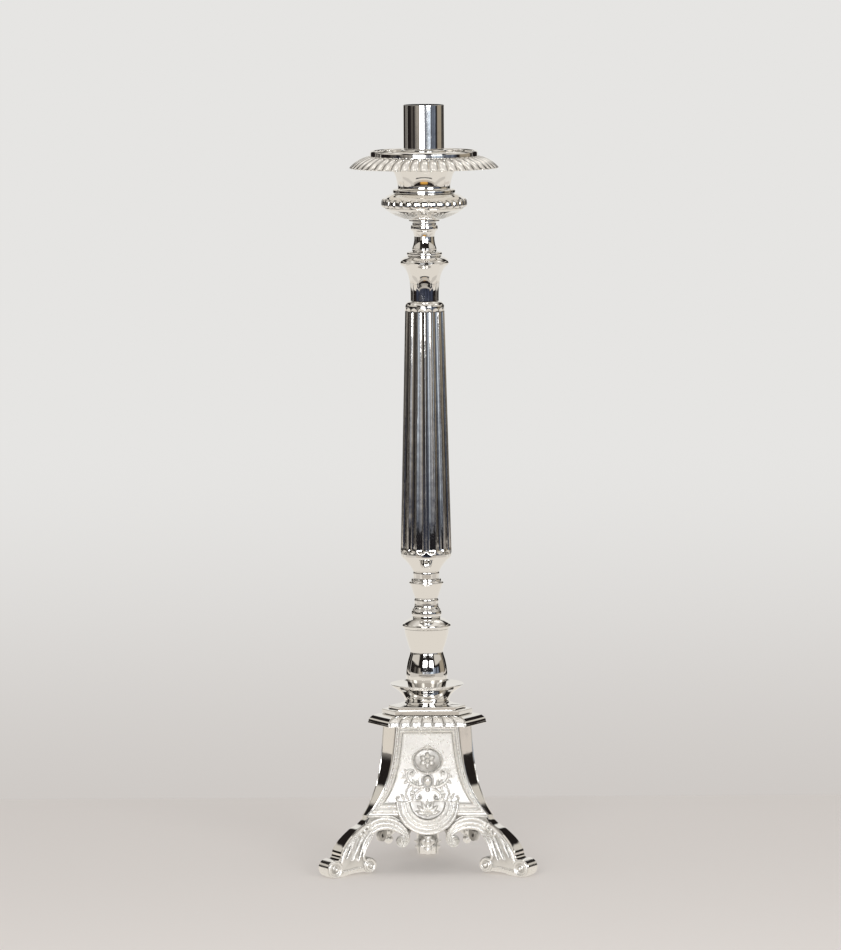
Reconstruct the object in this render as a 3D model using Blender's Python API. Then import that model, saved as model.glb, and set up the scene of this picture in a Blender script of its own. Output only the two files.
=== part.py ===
"""Altar candlestick: turned stem on a tie rod, standing on a three-sided base with scroll feet.

Metres, +Z up. The origin is on the floor at the centre of the plan box. One face of the base
looks along -Y. The spindle is a little in front of the origin, because the back foot reaches
further from it than the two front feet do.
"""
import math

import bmesh
import bpy

MM = 0.001
GAP = 0.3 * MM                     # clearance left between pieces that touch
MERGE = 0.01 * MM                  # points closer than this are one

# --- plan of the base -----------------------------------------------------------------------
FOOT_REACH = 118.3 * MM            # spindle to the tip of a toe
FOOT_WIDTH = 19.0 * MM             # toe, across
LEG_TOP_WIDTH = 11.0 * MM          # leg where it meets the body, across
SPINDLE_Y = -(FOOT_REACH - FOOT_REACH / 2 - FOOT_WIDTH * math.cos(math.radians(30)) / 2) / 2
THIRD_TURN = math.radians(120)
FACE_TURNS = {"front": 0.0, "right": THIRD_TURN, "left": 2 * THIRD_TURN}
CORNER_TURNS = {"back": 0.0, "left": THIRD_TURN, "right": 2 * THIRD_TURN}

# --- heights of the stack, in order from the top ---------------------------------------------
TOTAL_HEIGHT = 750.0 * MM
SOCKET_SHOULDER = 706.6 * MM
SOCKET_FLOOR = 704.0 * MM
GALLERY_TOP = 705.6 * MM
DISH_FLOOR = 699.3 * MM
DISH_UNDERSIDE = 697.3 * MM
PAN_RIM = 689.3 * MM
NECK_BASE = 668.2 * MM
COLLAR_BASE = 664.2 * MM
KNOP_SEAM = 651.2 * MM
KNOP_BASE = 638.4 * MM
NECK_RING_BASE = 622.2 * MM
VASE_BASE = 607.2 * MM
CAPITAL_RING_BASE = 603.0 * MM
CAPITAL_BASE = 575.7 * MM
DRUM_BASE = 559.3 * MM
COLUMN_TOP = 553.0 * MM
COLUMN_BASE = 311.8 * MM
CUP_BASE = 294.2 * MM
UPPER_SPOOL_BASE = 287.0 * MM
MID_COLLAR_BASE = 267.6 * MM
LOWER_SPOOL_BASE = 257.6 * MM
LOWER_COLLAR_BASE = 248.2 * MM
DISC_BASE = 237.6 * MM
BALUSTER_BASE = 180.6 * MM
SAUCER_BASE = 166.7 * MM
PLATE_TOP = 162.9 * MM
PLATE_STEP = 159.6 * MM
PLATE_BASE = 155.3 * MM
CORNICE_BASE = 145.4 * MM
BODY_BASE = 58.0 * MM

# --- driving radii and thicknesses -----------------------------------------------------------
SOCKET_OUTER = 20.0 * MM
SOCKET_BORE = 19.1 * MM            # takes a candle 38.1 mm (1 1/2 inch) across
SOCKET_FLANGE = 22.6 * MM
SOCKET_SEAT = 18.8 * MM            # disc pressed into the flange
PAN_RADIUS = 72.7 * MM
GALLERY_OUTER = 52.8 * MM
GALLERY_INNER = 50.1 * MM
KNOP_RADIUS = 42.1 * MM
COLUMN_TOP_RADIUS = 19.1 * MM
COLUMN_BASE_RADIUS = 24.9 * MM
COLUMN_WALL = 3.4 * MM                 # at the arrises
FLUTES = 16
FLUTE_DEPTH = 1.7 * MM
BALUSTER_BORE = 13.0 * MM
SAUCER_RADIUS = 36.2 * MM
ROD_RADIUS = 3.9 * MM
ROD_BORE = 4.3 * MM
ROD_TOP = 703.0 * MM
ROD_BASE = 141.0 * MM
BODY_WALL = 3.0 * MM
LUG_TOP = 76.0 * MM                # top of the lug that holds a foot inside its corner
LUG_INNER = 46.0 * MM              # the lug's face towards the spindle
BOLT_HEIGHT = 69.0 * MM
BOLT_RADIUS = 2.0 * MM
BOLT_HEAD_RADIUS = 4.0 * MM
BOLT_HEAD = 3.6 * MM               # height of the head
BOLT_SHANK = 10.6 * MM
BOLT_SIDES = 12
LUG_BORE_DEPTH = 26.0 * MM
PLATE_BORE_DEPTH = 20.0 * MM

# --- outline of the three-sided body: distance of faces and of canted corners, by height ------
BODY_TOP_FACE = 32.0 * MM
BODY_TOP_CORNER = 42.5 * MM
FACE_SLOPE = 2.0 * MM              # even spread of a face from top to bottom
FACE_FLARE = 5.5 * MM              # and the further spread that starts near the bottom
CORNER_SLOPE = 8.0 * MM
CORNER_FLARE = 20.5 * MM
BODY_LEVELS = (145.1, 137.0, 124.0, 112.0, 100.0, 90.0, 82.0, 75.0, 69.0, 63.5, 58.0)
APRON_CENTRE = 71.0 * MM
APRON_RADIUS = 31.5 * MM
APRON_STEPS = 6

FINE = 32                          # sides of a large turned piece
PLAIN = 24                         # sides of a small one
PENDANT_SIDES = 12


def clear_scene():
    """Remove every object of the scene the script runs in."""
    for item in list(bpy.data.objects):
        bpy.data.objects.remove(item, do_unlink=True)


def make_material(name, colour, metallic, roughness):
    """A plain Principled material."""
    mat = bpy.data.materials.new(name)
    mat.use_nodes = True
    shader = mat.node_tree.nodes["Principled BSDF"]
    shader.inputs["Base Color"].default_value = (*colour, 1.0)
    shader.inputs["Metallic"].default_value = metallic
    shader.inputs["Roughness"].default_value = roughness
    return mat


def add_empty(name, parent=None, height=0.0, y=0.0):
    """An empty on the spindle, or at an offset in Y."""
    empty = bpy.data.objects.new(name, None)
    bpy.context.collection.objects.link(empty)
    empty.parent = parent
    empty.location = (0.0, y, height)
    return empty


def finish_mesh(name, bm, flat_angle=35.0):
    """Point the faces outwards and write the bmesh to a mesh shaded smooth below the angle."""
    bmesh.ops.recalc_face_normals(bm, faces=bm.faces)
    mesh = bpy.data.meshes.new(name)
    bm.to_mesh(mesh)
    bm.free()
    mesh.shade_smooth()
    mesh.set_sharp_from_angle(angle=math.radians(flat_angle))
    return mesh


def add_object(name, mesh, mat, parent, location=(0.0, 0.0, 0.0), turn=0.0):
    """Link a mesh as an object with a material of its own slot."""
    if not mesh.materials:
        mesh.materials.append(mat)
    obj = bpy.data.objects.new(name, mesh)
    bpy.context.collection.objects.link(obj)
    obj.parent = parent
    obj.location = location
    obj.rotation_euler = (0.0, 0.0, turn)
    return obj


def turned(name, outline, mat, parent, sides=PLAIN, place=(0.0, 0.0), turn=0.0):
    """Spin an outline of (radius, height) points in millimetres about the Z axis.

    The outline closes on itself, unless it starts and ends on the axis.
    """
    base = min(height for _, height in outline) * MM
    bm = bmesh.new()
    verts = [bm.verts.new((radius * MM, 0.0, height * MM - base)) for radius, height in outline]
    edges = [bm.edges.new(pair) for pair in zip(verts, verts[1:])]
    if outline[0][0] > 0.0:
        edges.append(bm.edges.new((verts[-1], verts[0])))
    bmesh.ops.spin(bm, geom=verts + edges, cent=(0, 0, 0), axis=(0, 0, 1),
                   angle=math.tau, steps=sides, use_merge=True)
    bmesh.ops.remove_doubles(bm, verts=bm.verts, dist=MERGE)
    return add_object(name, finish_mesh(name, bm), mat, parent, (*place, base), turn)


def bored(outer, bore=ROD_BORE / MM):
    """Close an outer outline, listed from the top down, with a straight bore."""
    return outer + [(bore, outer[-1][1]), (bore, outer[0][1])]


def loft(name, sections):
    """A closed mesh through loops of equal length, capped at both ends."""
    bm = bmesh.new()
    loops = [[bm.verts.new(point) for point in section] for section in sections]
    count = len(loops[0])
    for lower, upper in zip(loops, loops[1:]):
        for i in range(count):
            bm.faces.new((lower[i - 1], lower[i], upper[i], upper[i - 1]))
    bm.faces.new(loops[0])
    bm.faces.new(reversed(loops[-1]))
    return finish_mesh(name, bm, flat_angle=25.0)


def arc(centre, radius, start, end, steps):
    """Points of an arc in a plane, angles in degrees."""
    angles = [math.radians(start + (end - start) * i / steps) for i in range(steps + 1)]
    return [(centre[0] + radius * math.cos(a), centre[1] + radius * math.sin(a)) for a in angles]


# --- stem ---------------------------------------------------------------------------------------

def candle_tube(mat, parent):
    """Plain open tube that holds the candle."""
    top, base = TOTAL_HEIGHT / MM, (SOCKET_SHOULDER + GAP) / MM
    outer, bore = SOCKET_OUTER / MM, SOCKET_BORE / MM
    outline = [(bore, top), (outer, top), (outer, base), (bore, base)]
    return turned("candle_tube", outline, mat, parent, FINE)


def socket_flange(mat, parent):
    """Ring under the tube that stands in the pan."""
    top, base = SOCKET_SHOULDER / MM, (DISH_FLOOR + GAP) / MM
    bore, flange = SOCKET_BORE / MM, SOCKET_FLANGE / MM
    outline = [(bore, top), (flange - 0.6, top), (flange, top - 1.2), (flange, base), (bore, base)]
    return turned("socket_flange", outline, mat, parent, FINE)


def socket_floor(mat, parent):
    """Disc in the flange that seats the candle, bored for the rod."""
    floor, base, seat = SOCKET_FLOOR / MM, (DISH_FLOOR + GAP) / MM, SOCKET_SEAT / MM
    return turned("socket_floor", bored([(seat, floor), (seat, base)]), mat, parent, FINE)


def drip_pan(mat, parent):
    """Dished pan with an upright gallery and a wide border that falls to a thin rim."""
    inner, outer, rim = GALLERY_INNER / MM, GALLERY_OUTER / MM, PAN_RADIUS / MM
    top, floor, under, edge = GALLERY_TOP / MM, DISH_FLOOR / MM, DISH_UNDERSIDE / MM, PAN_RIM / MM
    rod = ROD_BORE / MM
    outline = [(rod, floor), (inner - 2.6, floor), (inner, floor + 1.7), (inner, top),
               (outer - 0.8, top), (outer, top - 2.4), (outer, floor + 0.5), (61.3, 697.8),
               (67.1, 694.4), (71.5, 690.6), (rim, edge), (71.6, edge - 1.0), (66.0, 691.4),
               (58.5, 695.0), (50.0, under), (rod, under)]
    return turned("drip_pan", outline, mat, parent, FINE)


def pan_neck(mat, parent):
    """Hollow trumpet under the pan."""
    top, base = (DISH_UNDERSIDE - GAP) / MM, NECK_BASE / MM
    outline = [(37.0, top), (34.0, 690.6), (30.6, 686.0), (27.7, 681.8), (26.3, 677.0),
               (26.0, 671.0), (27.0, base), (8.0, base), (8.0, base + 3.0), (22.5, base + 4.0),
               (22.8, 677.0), (25.0, 682.6), (30.0, 689.6), (33.0, top)]
    return turned("pan_neck", outline, mat, parent, FINE)


def knop_collar(mat, parent):
    """Flat ring between the neck and the knop."""
    top, base = (NECK_BASE - GAP) / MM, COLLAR_BASE / MM
    outer = [(30.1, top), (30.7, top - 0.7), (30.7, base + 0.8), (30.0, base)]
    return turned("knop_collar", bored(outer), mat, parent, FINE)


def knop_shoulder(mat, parent):
    """Upper shell of the knop, convex, down to the widest line."""
    top, seam, wide = (COLLAR_BASE - GAP) / MM, KNOP_SEAM / MM, KNOP_RADIUS / MM
    outline = [(28.0, top), (33.0, 663.0), (38.3, 660.0), (41.4, 656.4), (wide, 653.6),
               (wide - 0.2, seam), (wide - 3.6, seam), (37.6, 655.0), (33.0, 658.6),
               (27.0, 660.4), (8.0, 660.4), (8.0, top)]
    return turned("knop_shoulder", outline, mat, parent, FINE)


def knop_bowl(mat, parent):
    """Lower shell of the knop, a shallow bowl."""
    seam, base, wide = (KNOP_SEAM - GAP) / MM, KNOP_BASE / MM, KNOP_RADIUS / MM
    outline = [(wide - 0.2, seam), (40.6, 648.8), (37.0, 646.7), (29.2, 642.8), (21.0, 639.9),
               (15.6, base), (8.0, base), (8.0, base + 2.6), (19.0, base + 4.4), (28.0, 646.2),
               (35.0, 649.6), (wide - 3.8, seam)]
    return turned("knop_bowl", outline, mat, parent, FINE)


def neck_ring(mat, parent):
    """Waisted neck with one ring, under the knop."""
    top, base = (KNOP_BASE - GAP) / MM, NECK_RING_BASE / MM
    outer = [(15.0, top), (15.0, 636.9), (11.7, 635.6), (11.7, 633.4), (13.2, 632.3),
             (13.2, 628.2), (9.9, 626.4), (9.7, base)]
    return turned("neck_ring", bored(outer), mat, parent)


def vase_drum(mat, parent):
    """Small drum that widens downwards."""
    top, base = (NECK_RING_BASE - GAP) / MM, VASE_BASE / MM
    outer = [(10.1, top), (11.0, 616.0), (12.1, 610.2), (11.9, 608.9), (14.0, base)]
    return turned("vase_drum", bored(outer), mat, parent)


def capital_ring(mat, parent):
    """Ring on top of the capital."""
    top, base = (VASE_BASE - GAP) / MM, CAPITAL_RING_BASE / MM
    outer = [(16.7, top), (17.3, top - 0.9), (17.3, base + 0.7), (16.6, base)]
    return turned("capital_ring", bored(outer), mat, parent)


def capital_disc(mat, parent):
    """Domed disc that runs down into a trumpet."""
    top, base = (CAPITAL_RING_BASE - GAP) / MM, CAPITAL_BASE / MM
    outer = [(17.0, top), (20.6, 600.8), (23.3, 598.2), (23.9, 596.4), (23.4, 594.4),
             (19.6, 591.1), (17.4, 587.2), (15.7, 582.3), (14.5, 578.0), (14.1, base)]
    return turned("capital_disc", bored(outer), mat, parent)


def capital_drum(mat, parent):
    """Plain cylinder over the column."""
    top, base = (CAPITAL_BASE - GAP) / MM, DRUM_BASE / MM
    return turned("capital_drum", bored([(13.9, top), (13.9, base)]), mat, parent)


def column_cap(mat, parent):
    """Quarter-round cap that closes the fluted column."""
    top, base = (DRUM_BASE - GAP) / MM, (COLUMN_TOP + GAP) / MM
    outer = [(14.3, top), (16.7, 558.1), (18.7, 555.8), (19.2, 554.2), (19.2, base)]
    return turned("column_cap", bored(outer), mat, parent)


def flute_ring(radius, depth, height):
    """One level of the column's outer surface: arrises and flute bottoms in turn."""
    points = []
    for i in range(2 * FLUTES):
        reach = radius - (depth if i % 2 else 0.0)
        angle = math.tau * i / (2 * FLUTES) - math.pi / 2
        points.append((reach * math.cos(angle), reach * math.sin(angle), height))
    return points


def fluted_column(mat, parent):
    """Hollow tapered column with sharp arrises; the flutes run out at both ends."""
    length = COLUMN_TOP - COLUMN_BASE
    run_out = 5.0 * MM

    def radius_at(height):
        return COLUMN_BASE_RADIUS + (COLUMN_TOP_RADIUS - COLUMN_BASE_RADIUS) * height / length

    bore_top, bore_base = COLUMN_TOP_RADIUS - COLUMN_WALL, COLUMN_BASE_RADIUS - COLUMN_WALL
    sections = [flute_ring(bore_base, 0.0, 0.0),
                flute_ring(radius_at(0.0), 0.0, 0.0),
                flute_ring(radius_at(run_out), FLUTE_DEPTH, run_out),
                flute_ring(radius_at(length - run_out), FLUTE_DEPTH, length - run_out),
                flute_ring(radius_at(length), 0.0, length),
                flute_ring(bore_top, 0.0, length)]
    bm = bmesh.new()
    loops = [[bm.verts.new(point) for point in section] for section in sections]
    for lower, upper in zip(loops, loops[1:] + loops[:1]):
        for i in range(2 * FLUTES):
            bm.faces.new((lower[i - 1], lower[i], upper[i], upper[i - 1]))
    mesh = finish_mesh("fluted_column", bm, flat_angle=20.0)
    return add_object("fluted_column", mesh, mat, parent, (0.0, 0.0, COLUMN_BASE))


def column_cup(mat, parent):
    """Bowl that carries the column."""
    top, base = (COLUMN_BASE - GAP) / MM, CUP_BASE / MM
    outer = [(24.8, top), (24.7, 309.0), (23.7, 307.4), (19.1, 302.6), (15.7, 298.8),
             (13.8, 295.2), (13.2, base)]
    return turned("column_cup", bored(outer), mat, parent)


def upper_spool(mat, parent):
    """Short drum under the cup."""
    top, base = (CUP_BASE - GAP) / MM, UPPER_SPOOL_BASE / MM
    return turned("upper_spool", bored([(11.8, top), (12.3, 291.0), (12.6, base)]), mat, parent)


def mid_collar(mat, parent):
    """Two rings, the lower one wider, and a trumpet that narrows downwards."""
    top, base = (UPPER_SPOOL_BASE - GAP) / MM, MID_COLLAR_BASE / MM
    outer = [(14.7, top), (14.7, 284.2), (16.9, 283.6), (16.9, 281.4), (15.4, 280.0),
             (13.9, 275.4), (12.6, 271.2), (11.2, base)]
    return turned("mid_collar", bored(outer), mat, parent)


def lower_spool(mat, parent):
    """Drum between the two collars."""
    top, base = (MID_COLLAR_BASE - GAP) / MM, LOWER_SPOOL_BASE / MM
    return turned("lower_spool", bored([(11.1, top), (11.8, 261.0), (12.6, base)]), mat, parent)


def lower_collar(mat, parent):
    """Stepped ring over the baluster's disc."""
    top, base = (LOWER_SPOOL_BASE - GAP) / MM, LOWER_COLLAR_BASE / MM
    outer = [(13.8, top), (13.8, 255.4), (14.7, 254.8), (14.7, 249.8), (13.6, base)]
    return turned("lower_collar", bored(outer), mat, parent)


def baluster_disc(mat, parent):
    """Conical disc with a rounded edge."""
    top, base = (LOWER_COLLAR_BASE - GAP) / MM, DISC_BASE / MM
    outer = [(13.4, top), (16.9, 246.9), (20.8, 244.4), (23.4, 242.2), (24.0, 240.6),
             (23.5, 238.8), (22.3, base)]
    return turned("baluster_disc", bored(outer), mat, parent)


def baluster(mat, parent):
    """Trumpet over a bulb, hollow."""
    top, base = (DISC_BASE - GAP) / MM, BALUSTER_BASE / MM
    outer = [(22.1, top), (21.5, 233.4), (20.0, 227.4), (17.9, 220.6), (16.7, 215.8),
             (16.2, 211.8), (17.9, 206.2), (19.9, 198.4), (20.6, 190.6), (20.0, 184.8),
             (18.8, base)]
    return turned("baluster", bored(outer, BALUSTER_BORE / MM), mat, parent)


def saucer(mat, parent):
    """Upturned saucer under the baluster, with a waisted foot."""
    top, base, rim = (BALUSTER_BASE - GAP) / MM, SAUCER_BASE / MM, SAUCER_RADIUS / MM
    outer = [(19.4, top), (28.0, 181.2), (35.6, 183.3), (rim, 182.6), (35.0, 180.5),
             (31.4, 177.6), (26.5, 172.3), (23.4, 168.2), (22.6, base)]
    return turned("saucer", bored(outer), mat, parent, FINE)


def base_neck(mat, parent):
    """Cove that spreads the stem onto the base."""
    top, base = (SAUCER_BASE - GAP) / MM, (PLATE_TOP + GAP) / MM
    outer = [(22.5, top), (22.4, 165.2), (24.4, 163.9), (26.2, base)]
    return turned("base_neck", bored(outer), mat, parent)


def tie_rod(mat, parent):
    """Steel rod that holds the whole stack together."""
    outline = arc((0.0, 0.0), ROD_RADIUS, 0, 330, 11)
    mesh = loft("tie_rod", [[(x, y, z) for x, y in outline] for z in (0.0, ROD_TOP - ROD_BASE)])
    return add_object("tie_rod", mesh, mat, parent, (0.0, 0.0, ROD_BASE))


def clamp_hardware(mat, parent):
    """Washer and nut under the top plate of the base."""
    plate = PLATE_BASE / MM
    washer = bored([(11.0, plate - 0.3), (11.0, plate - 2.3)])
    nut = bored([(7.5, plate - 2.6), (7.5, plate - 9.1)], 4.9)
    return [turned("clamp_washer", washer, mat, parent), turned("clamp_nut", nut, mat, parent, 6)]


# --- three-sided base ----------------------------------------------------------------------------

def drop_share(height):
    """How far down the body a height lies: 0 at its top, 1 at its bottom edge."""
    top = BODY_LEVELS[0] * MM
    return max(0.0, (top - height) / (top - BODY_BASE))


def corner_distance(height):
    """Distance of the canted corners from the spindle: steep at first, flaring at the foot."""
    drop = drop_share(height)
    return BODY_TOP_CORNER + CORNER_SLOPE * drop + CORNER_FLARE * drop ** 3.6


def face_distance(height):
    """Distance of the three wide faces from the spindle."""
    drop = drop_share(height)
    return BODY_TOP_FACE + FACE_SLOPE * drop + FACE_FLARE * drop ** 4


def half_side(own, other):
    """Half length of a side at distance `own` between neighbours at `other`, 60 degrees on."""
    return (other - own * math.cos(math.radians(60))) / math.sin(math.radians(60))


def wall_section(own, other, height, facing):
    """Four corners of a flat wall with mitred ends; `facing` is -1 for -Y and 1 for +Y."""
    outer = half_side(own, other) - GAP
    inner = half_side(own - BODY_WALL, other - BODY_WALL) - GAP
    near, far = facing * own, facing * (own - BODY_WALL)
    return [(-outer, near, height), (outer, near, height), (inner, far, height),
            (-inner, far, height)]


def face_panel_mesh():
    """A wide face of the body with its half-round apron."""
    sections = []
    for level in BODY_LEVELS:
        height = level * MM
        sections.append(wall_section(face_distance(height), corner_distance(height), height, -1))
    start = math.asin((APRON_CENTRE - BODY_BASE + GAP) / APRON_RADIUS)
    for i in range(APRON_STEPS):
        angle = start + (math.radians(82) - start) * i / (APRON_STEPS - 1)
        half = APRON_RADIUS * math.cos(angle)
        height = APRON_CENTRE - APRON_RADIUS * math.sin(angle)
        face = face_distance(height)
        sections.append([(-half, -face, height), (half, -face, height),
                         (half, BODY_WALL - face, height), (-half, BODY_WALL - face, height)])
    return loft("face_panel", sections)


def corner_strip_mesh():
    """A canted corner of the body."""
    sections = []
    for level in BODY_LEVELS:
        height = level * MM
        sections.append(wall_section(corner_distance(height), face_distance(height), height, 1))
    return loft("corner_strip", sections)


def mitred_moulding(name, profile, own, other, facing):
    """Sweep a profile of (offset, height) along one side of the plan, between its mitres."""
    ends = []
    for side in (-1, 1):
        end = []
        for offset, height in profile:
            reach = own + offset * MM
            half = half_side(reach, other + offset * MM) - GAP
            end.append((side * half, facing * reach, height * MM))
        ends.append(end)
    return loft(name, ends)


def cornice_profile():
    """Ovolo under the top plate, as (offset from the body, height)."""
    top, base = (PLATE_BASE - GAP) / MM, CORNICE_BASE / MM
    ovolo = [(1.6 + 11.4 * across, base + 1.6 + (top - base - 1.6) * up)
             for up, across in arc((0.0, 0.0), 1.0, 0, 90, 5)]
    return [(-3.0, top)] + ovolo + [(13.0, base), (-3.0, base)]


def plate_section(offset, height):
    """Six-sided outline of the top plate at one level."""
    face, corner = BODY_TOP_FACE + offset * MM, BODY_TOP_CORNER + offset * MM
    half = half_side(face, corner)
    points = []
    for turn in (0.0, THIRD_TURN, 2 * THIRD_TURN):
        for x in (-half, half):
            y = -face
            points.append((x * math.cos(turn) - y * math.sin(turn),
                           x * math.sin(turn) + y * math.cos(turn), height))
    return points


def top_plate(mat, parent):
    """Stepped plate that closes the base, bored for the tie rod."""
    levels = [(1.0, PLATE_BASE), (1.0, PLATE_STEP), (-5.0, PLATE_STEP + 0.4 * MM),
              (-5.0, PLATE_TOP)]
    mesh = loft("top_plate", [plate_section(offset, height) for offset, height in levels])
    plate = add_object("top_plate", mesh, mat, parent)
    cut(plate, ROD_BORE, PLATE_BORE_DEPTH, (0.0, 0.0, (PLATE_BASE + PLATE_TOP) / 2), (0.0, 0.0, 0.0))
    return plate


def cut(target, radius, depth, location, rotation):
    """Bore a round hole through an object with a Boolean."""
    bm = bmesh.new()
    bmesh.ops.create_cone(bm, cap_ends=True, segments=PLAIN, radius1=radius, radius2=radius,
                          depth=depth)
    cutter = bpy.data.objects.new(target.name + "_cutter", finish_mesh("cutter", bm))
    bpy.context.collection.objects.link(cutter)
    cutter.parent = target
    cutter.location = location
    cutter.rotation_euler = rotation
    cutter.hide_render = True
    cutter.display_type = "WIRE"
    bore = target.modifiers.new("bore", "BOOLEAN")
    bore.operation = "DIFFERENCE"
    bore.object = cutter


def panel_relief_mesh():
    """Backing of the cast ornament: an oval over a spreading fan, proud of the face."""
    top, base, thickness = 124.0 * MM, 64.0 * MM, 2.4 * MM
    sections = []
    steps = 10
    for i in range(steps + 1):
        share = i / steps
        height = top + (base - top) * share
        half = (6.0 + 10.0 * math.sin(math.pi * min(1.0, share * 1.8)) ** 2 + 12.0 *
                math.sin(math.pi * max(0.0, share - 0.3) / 0.7)) * MM
        near = -face_distance(height) - GAP
        sections.append([(-half, near - thickness, height), (half, near - thickness, height),
                         (half, near, height), (-half, near, height)])
    return loft("panel_relief", sections)


def scroll_bracket_mesh(side):
    """C-shaped bracket under the edge of a face: an arch that ends in a volute."""
    crown, volute, curl = BODY_BASE / MM - 0.3, (24.4, 32.8), 5.6
    face = face_distance(BODY_BASE) / MM
    leg = LEG_TOP_WIDTH / MM / 2 + 2.4
    sections = []
    for depth in (face + 1.6, face - 3.4):
        end = 2 * (depth * math.sin(math.radians(60)) - leg)
        outline = [(end, crown), (34.0, crown), (29.5, 53.0), (25.0, 46.0)]
        outline += arc(volute, curl, 120, 400, 10) + [(34.0, 43.6), (40.0, 45.6), (end, 43.0)]
        sections.append([(side * x * MM, -depth * MM, z * MM) for x, z in outline])
    return loft("scroll_bracket", sections)


def pendant(name, mat, parent, turn):
    """Turned drop with two knobs, under the middle of an apron."""
    top, base = 39.0, 20.2
    outline = [(0.0, top), (3.4, top), (4.6, 37.0), (7.2, 35.0), (7.2, 32.4), (4.0, 30.0),
               (2.6, 28.0), (4.0, 25.8), (4.0, 22.6), (1.6, base), (0.0, base)]
    out = face_distance(APRON_CENTRE - APRON_RADIUS) - BODY_WALL / 2
    place = (out * math.sin(turn), -out * math.cos(turn))
    return turned(name, outline, mat, parent, PENDANT_SIDES, place, turn)


def foot_outline():
    """Side view of a scroll foot as (reach, height) in millimetres."""
    toe_centre, toe_radius = (FOOT_REACH / MM - 8.8, 8.8), 8.8
    heel_centre, heel_radius = (70.5, 9.6), 7.6
    top = BODY_BASE / MM - 0.3
    lug = [(LUG_INNER / MM, LUG_TOP / MM), (52.6, LUG_TOP / MM), (58.5, top)]
    outer_edge = [(68.5, top), (74.0, 50.0), (85.3, 43.5), (96.0, 34.0), (102.4, 25.0),
                  (102.0, 18.6)]
    toe = arc(toe_centre, toe_radius, 110, -70, 9)
    sole = [(110.0, 0.0), (98.0, 0.0), (90.0, 2.4), (80.0, 3.0)]
    heel = arc(heel_centre, heel_radius, -60, -290, 9)
    inner_edge = [(78.0, 20.0), (75.0, 28.0), (67.0, 37.0), (58.0, 43.0), (LUG_INNER / MM, 49.0)]
    return lug + outer_edge + toe + sole + heel + inner_edge


def foot_mesh():
    """A scroll foot with its lug, reaching along +Y; it widens from the leg to the toe."""
    outline = foot_outline()
    sections = []
    for side in (-1, 1):
        section = []
        for reach, height in outline:
            share = min(1.0, max(0.0, (BODY_BASE / MM - height) / 30.0))
            half = (LEG_TOP_WIDTH + (FOOT_WIDTH - LEG_TOP_WIDTH) * share) / 2
            section.append((side * half, reach * MM, height * MM))
        sections.append(section)
    return loft("foot", sections)


def foot_bolt_mesh():
    """A bolt that runs outwards along +Y, with its cap head inside the base."""
    start = LUG_INNER - GAP - BOLT_HEAD
    shoulder = start + BOLT_HEAD
    levels = [(BOLT_HEAD_RADIUS, start), (BOLT_HEAD_RADIUS, shoulder), (BOLT_RADIUS, shoulder),
              (BOLT_RADIUS, shoulder + BOLT_SHANK)]
    sections = []
    for radius, reach in levels:
        ring = arc((0.0, BOLT_HEIGHT), radius, 0, 360 - 360 / BOLT_SIDES, BOLT_SIDES - 1)
        sections.append([(x, reach, z) for x, z in ring])
    return loft("foot_bolt", sections)


def three_of(name, mesh, mat, parent, turns):
    """One object for each turn about the spindle, sharing a mesh."""
    return [add_object(f"{name}_{place}", mesh, mat, parent, turn=turn)
            for place, turn in turns.items()]


def three_sided_base(polished, cast, steel, parent):
    """All pieces of the base."""
    cornice = cornice_profile()
    face_moulding = mitred_moulding("gadroon_strip", cornice, BODY_TOP_FACE, BODY_TOP_CORNER, -1)
    corner_moulding = mitred_moulding("cornice_corner", cornice, BODY_TOP_CORNER, BODY_TOP_FACE, 1)
    top_plate(polished, parent)
    three_of("gadroon_strip", face_moulding, cast, parent, FACE_TURNS)
    three_of("cornice_corner", corner_moulding, polished, parent, CORNER_TURNS)
    three_of("face_panel", face_panel_mesh(), cast, parent, FACE_TURNS)
    three_of("corner_strip", corner_strip_mesh(), polished, parent, CORNER_TURNS)
    three_of("panel_relief", panel_relief_mesh(), cast, parent, FACE_TURNS)
    three_of("scroll_bracket_a", scroll_bracket_mesh(-1), cast, parent, FACE_TURNS)
    three_of("scroll_bracket_b", scroll_bracket_mesh(1), cast, parent, FACE_TURNS)
    for foot in three_of("foot", foot_mesh(), cast, parent, CORNER_TURNS):
        cut(foot, BOLT_RADIUS + GAP, LUG_BORE_DEPTH, (0.0, LUG_INNER, BOLT_HEIGHT),
            (math.radians(90), 0.0, 0.0))
    three_of("foot_bolt", foot_bolt_mesh(), steel, parent, CORNER_TURNS)
    for place, turn in FACE_TURNS.items():
        pendant(f"pendant_{place}", cast, parent, turn)
    clamp_hardware(steel, parent)
    tie_rod(steel, parent)


def turned_stem(polished, parent):
    """All turned pieces that the tie rod clamps between the pan and the base."""
    for piece in (pan_neck, knop_collar, knop_shoulder, knop_bowl, neck_ring, vase_drum,
                  capital_ring, capital_disc, capital_drum, column_cap, fluted_column,
                  column_cup, upper_spool, mid_collar, lower_spool, lower_collar,
                  baluster_disc, baluster, saucer, base_neck):
        piece(polished, parent)


def main():
    """Build the candlestick."""
    clear_scene()
    polished = make_material("polished_silver", (0.88, 0.87, 0.85), 1.0, 0.08)
    cast = make_material("cast_silver", (0.86, 0.85, 0.83), 1.0, 0.32)
    steel = make_material("steel", (0.45, 0.45, 0.46), 1.0, 0.35)
    spindle = add_empty("spindle", y=SPINDLE_Y)
    pan_axis = add_empty("pan_axis", spindle)
    tube_axis = add_empty("tube_axis", pan_axis)
    three_sided_base(polished, cast, steel, spindle)
    turned_stem(polished, spindle)
    drip_pan(polished, pan_axis)
    candle_tube(polished, tube_axis)
    socket_flange(polished, tube_axis)
    socket_floor(polished, tube_axis)


main()
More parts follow.
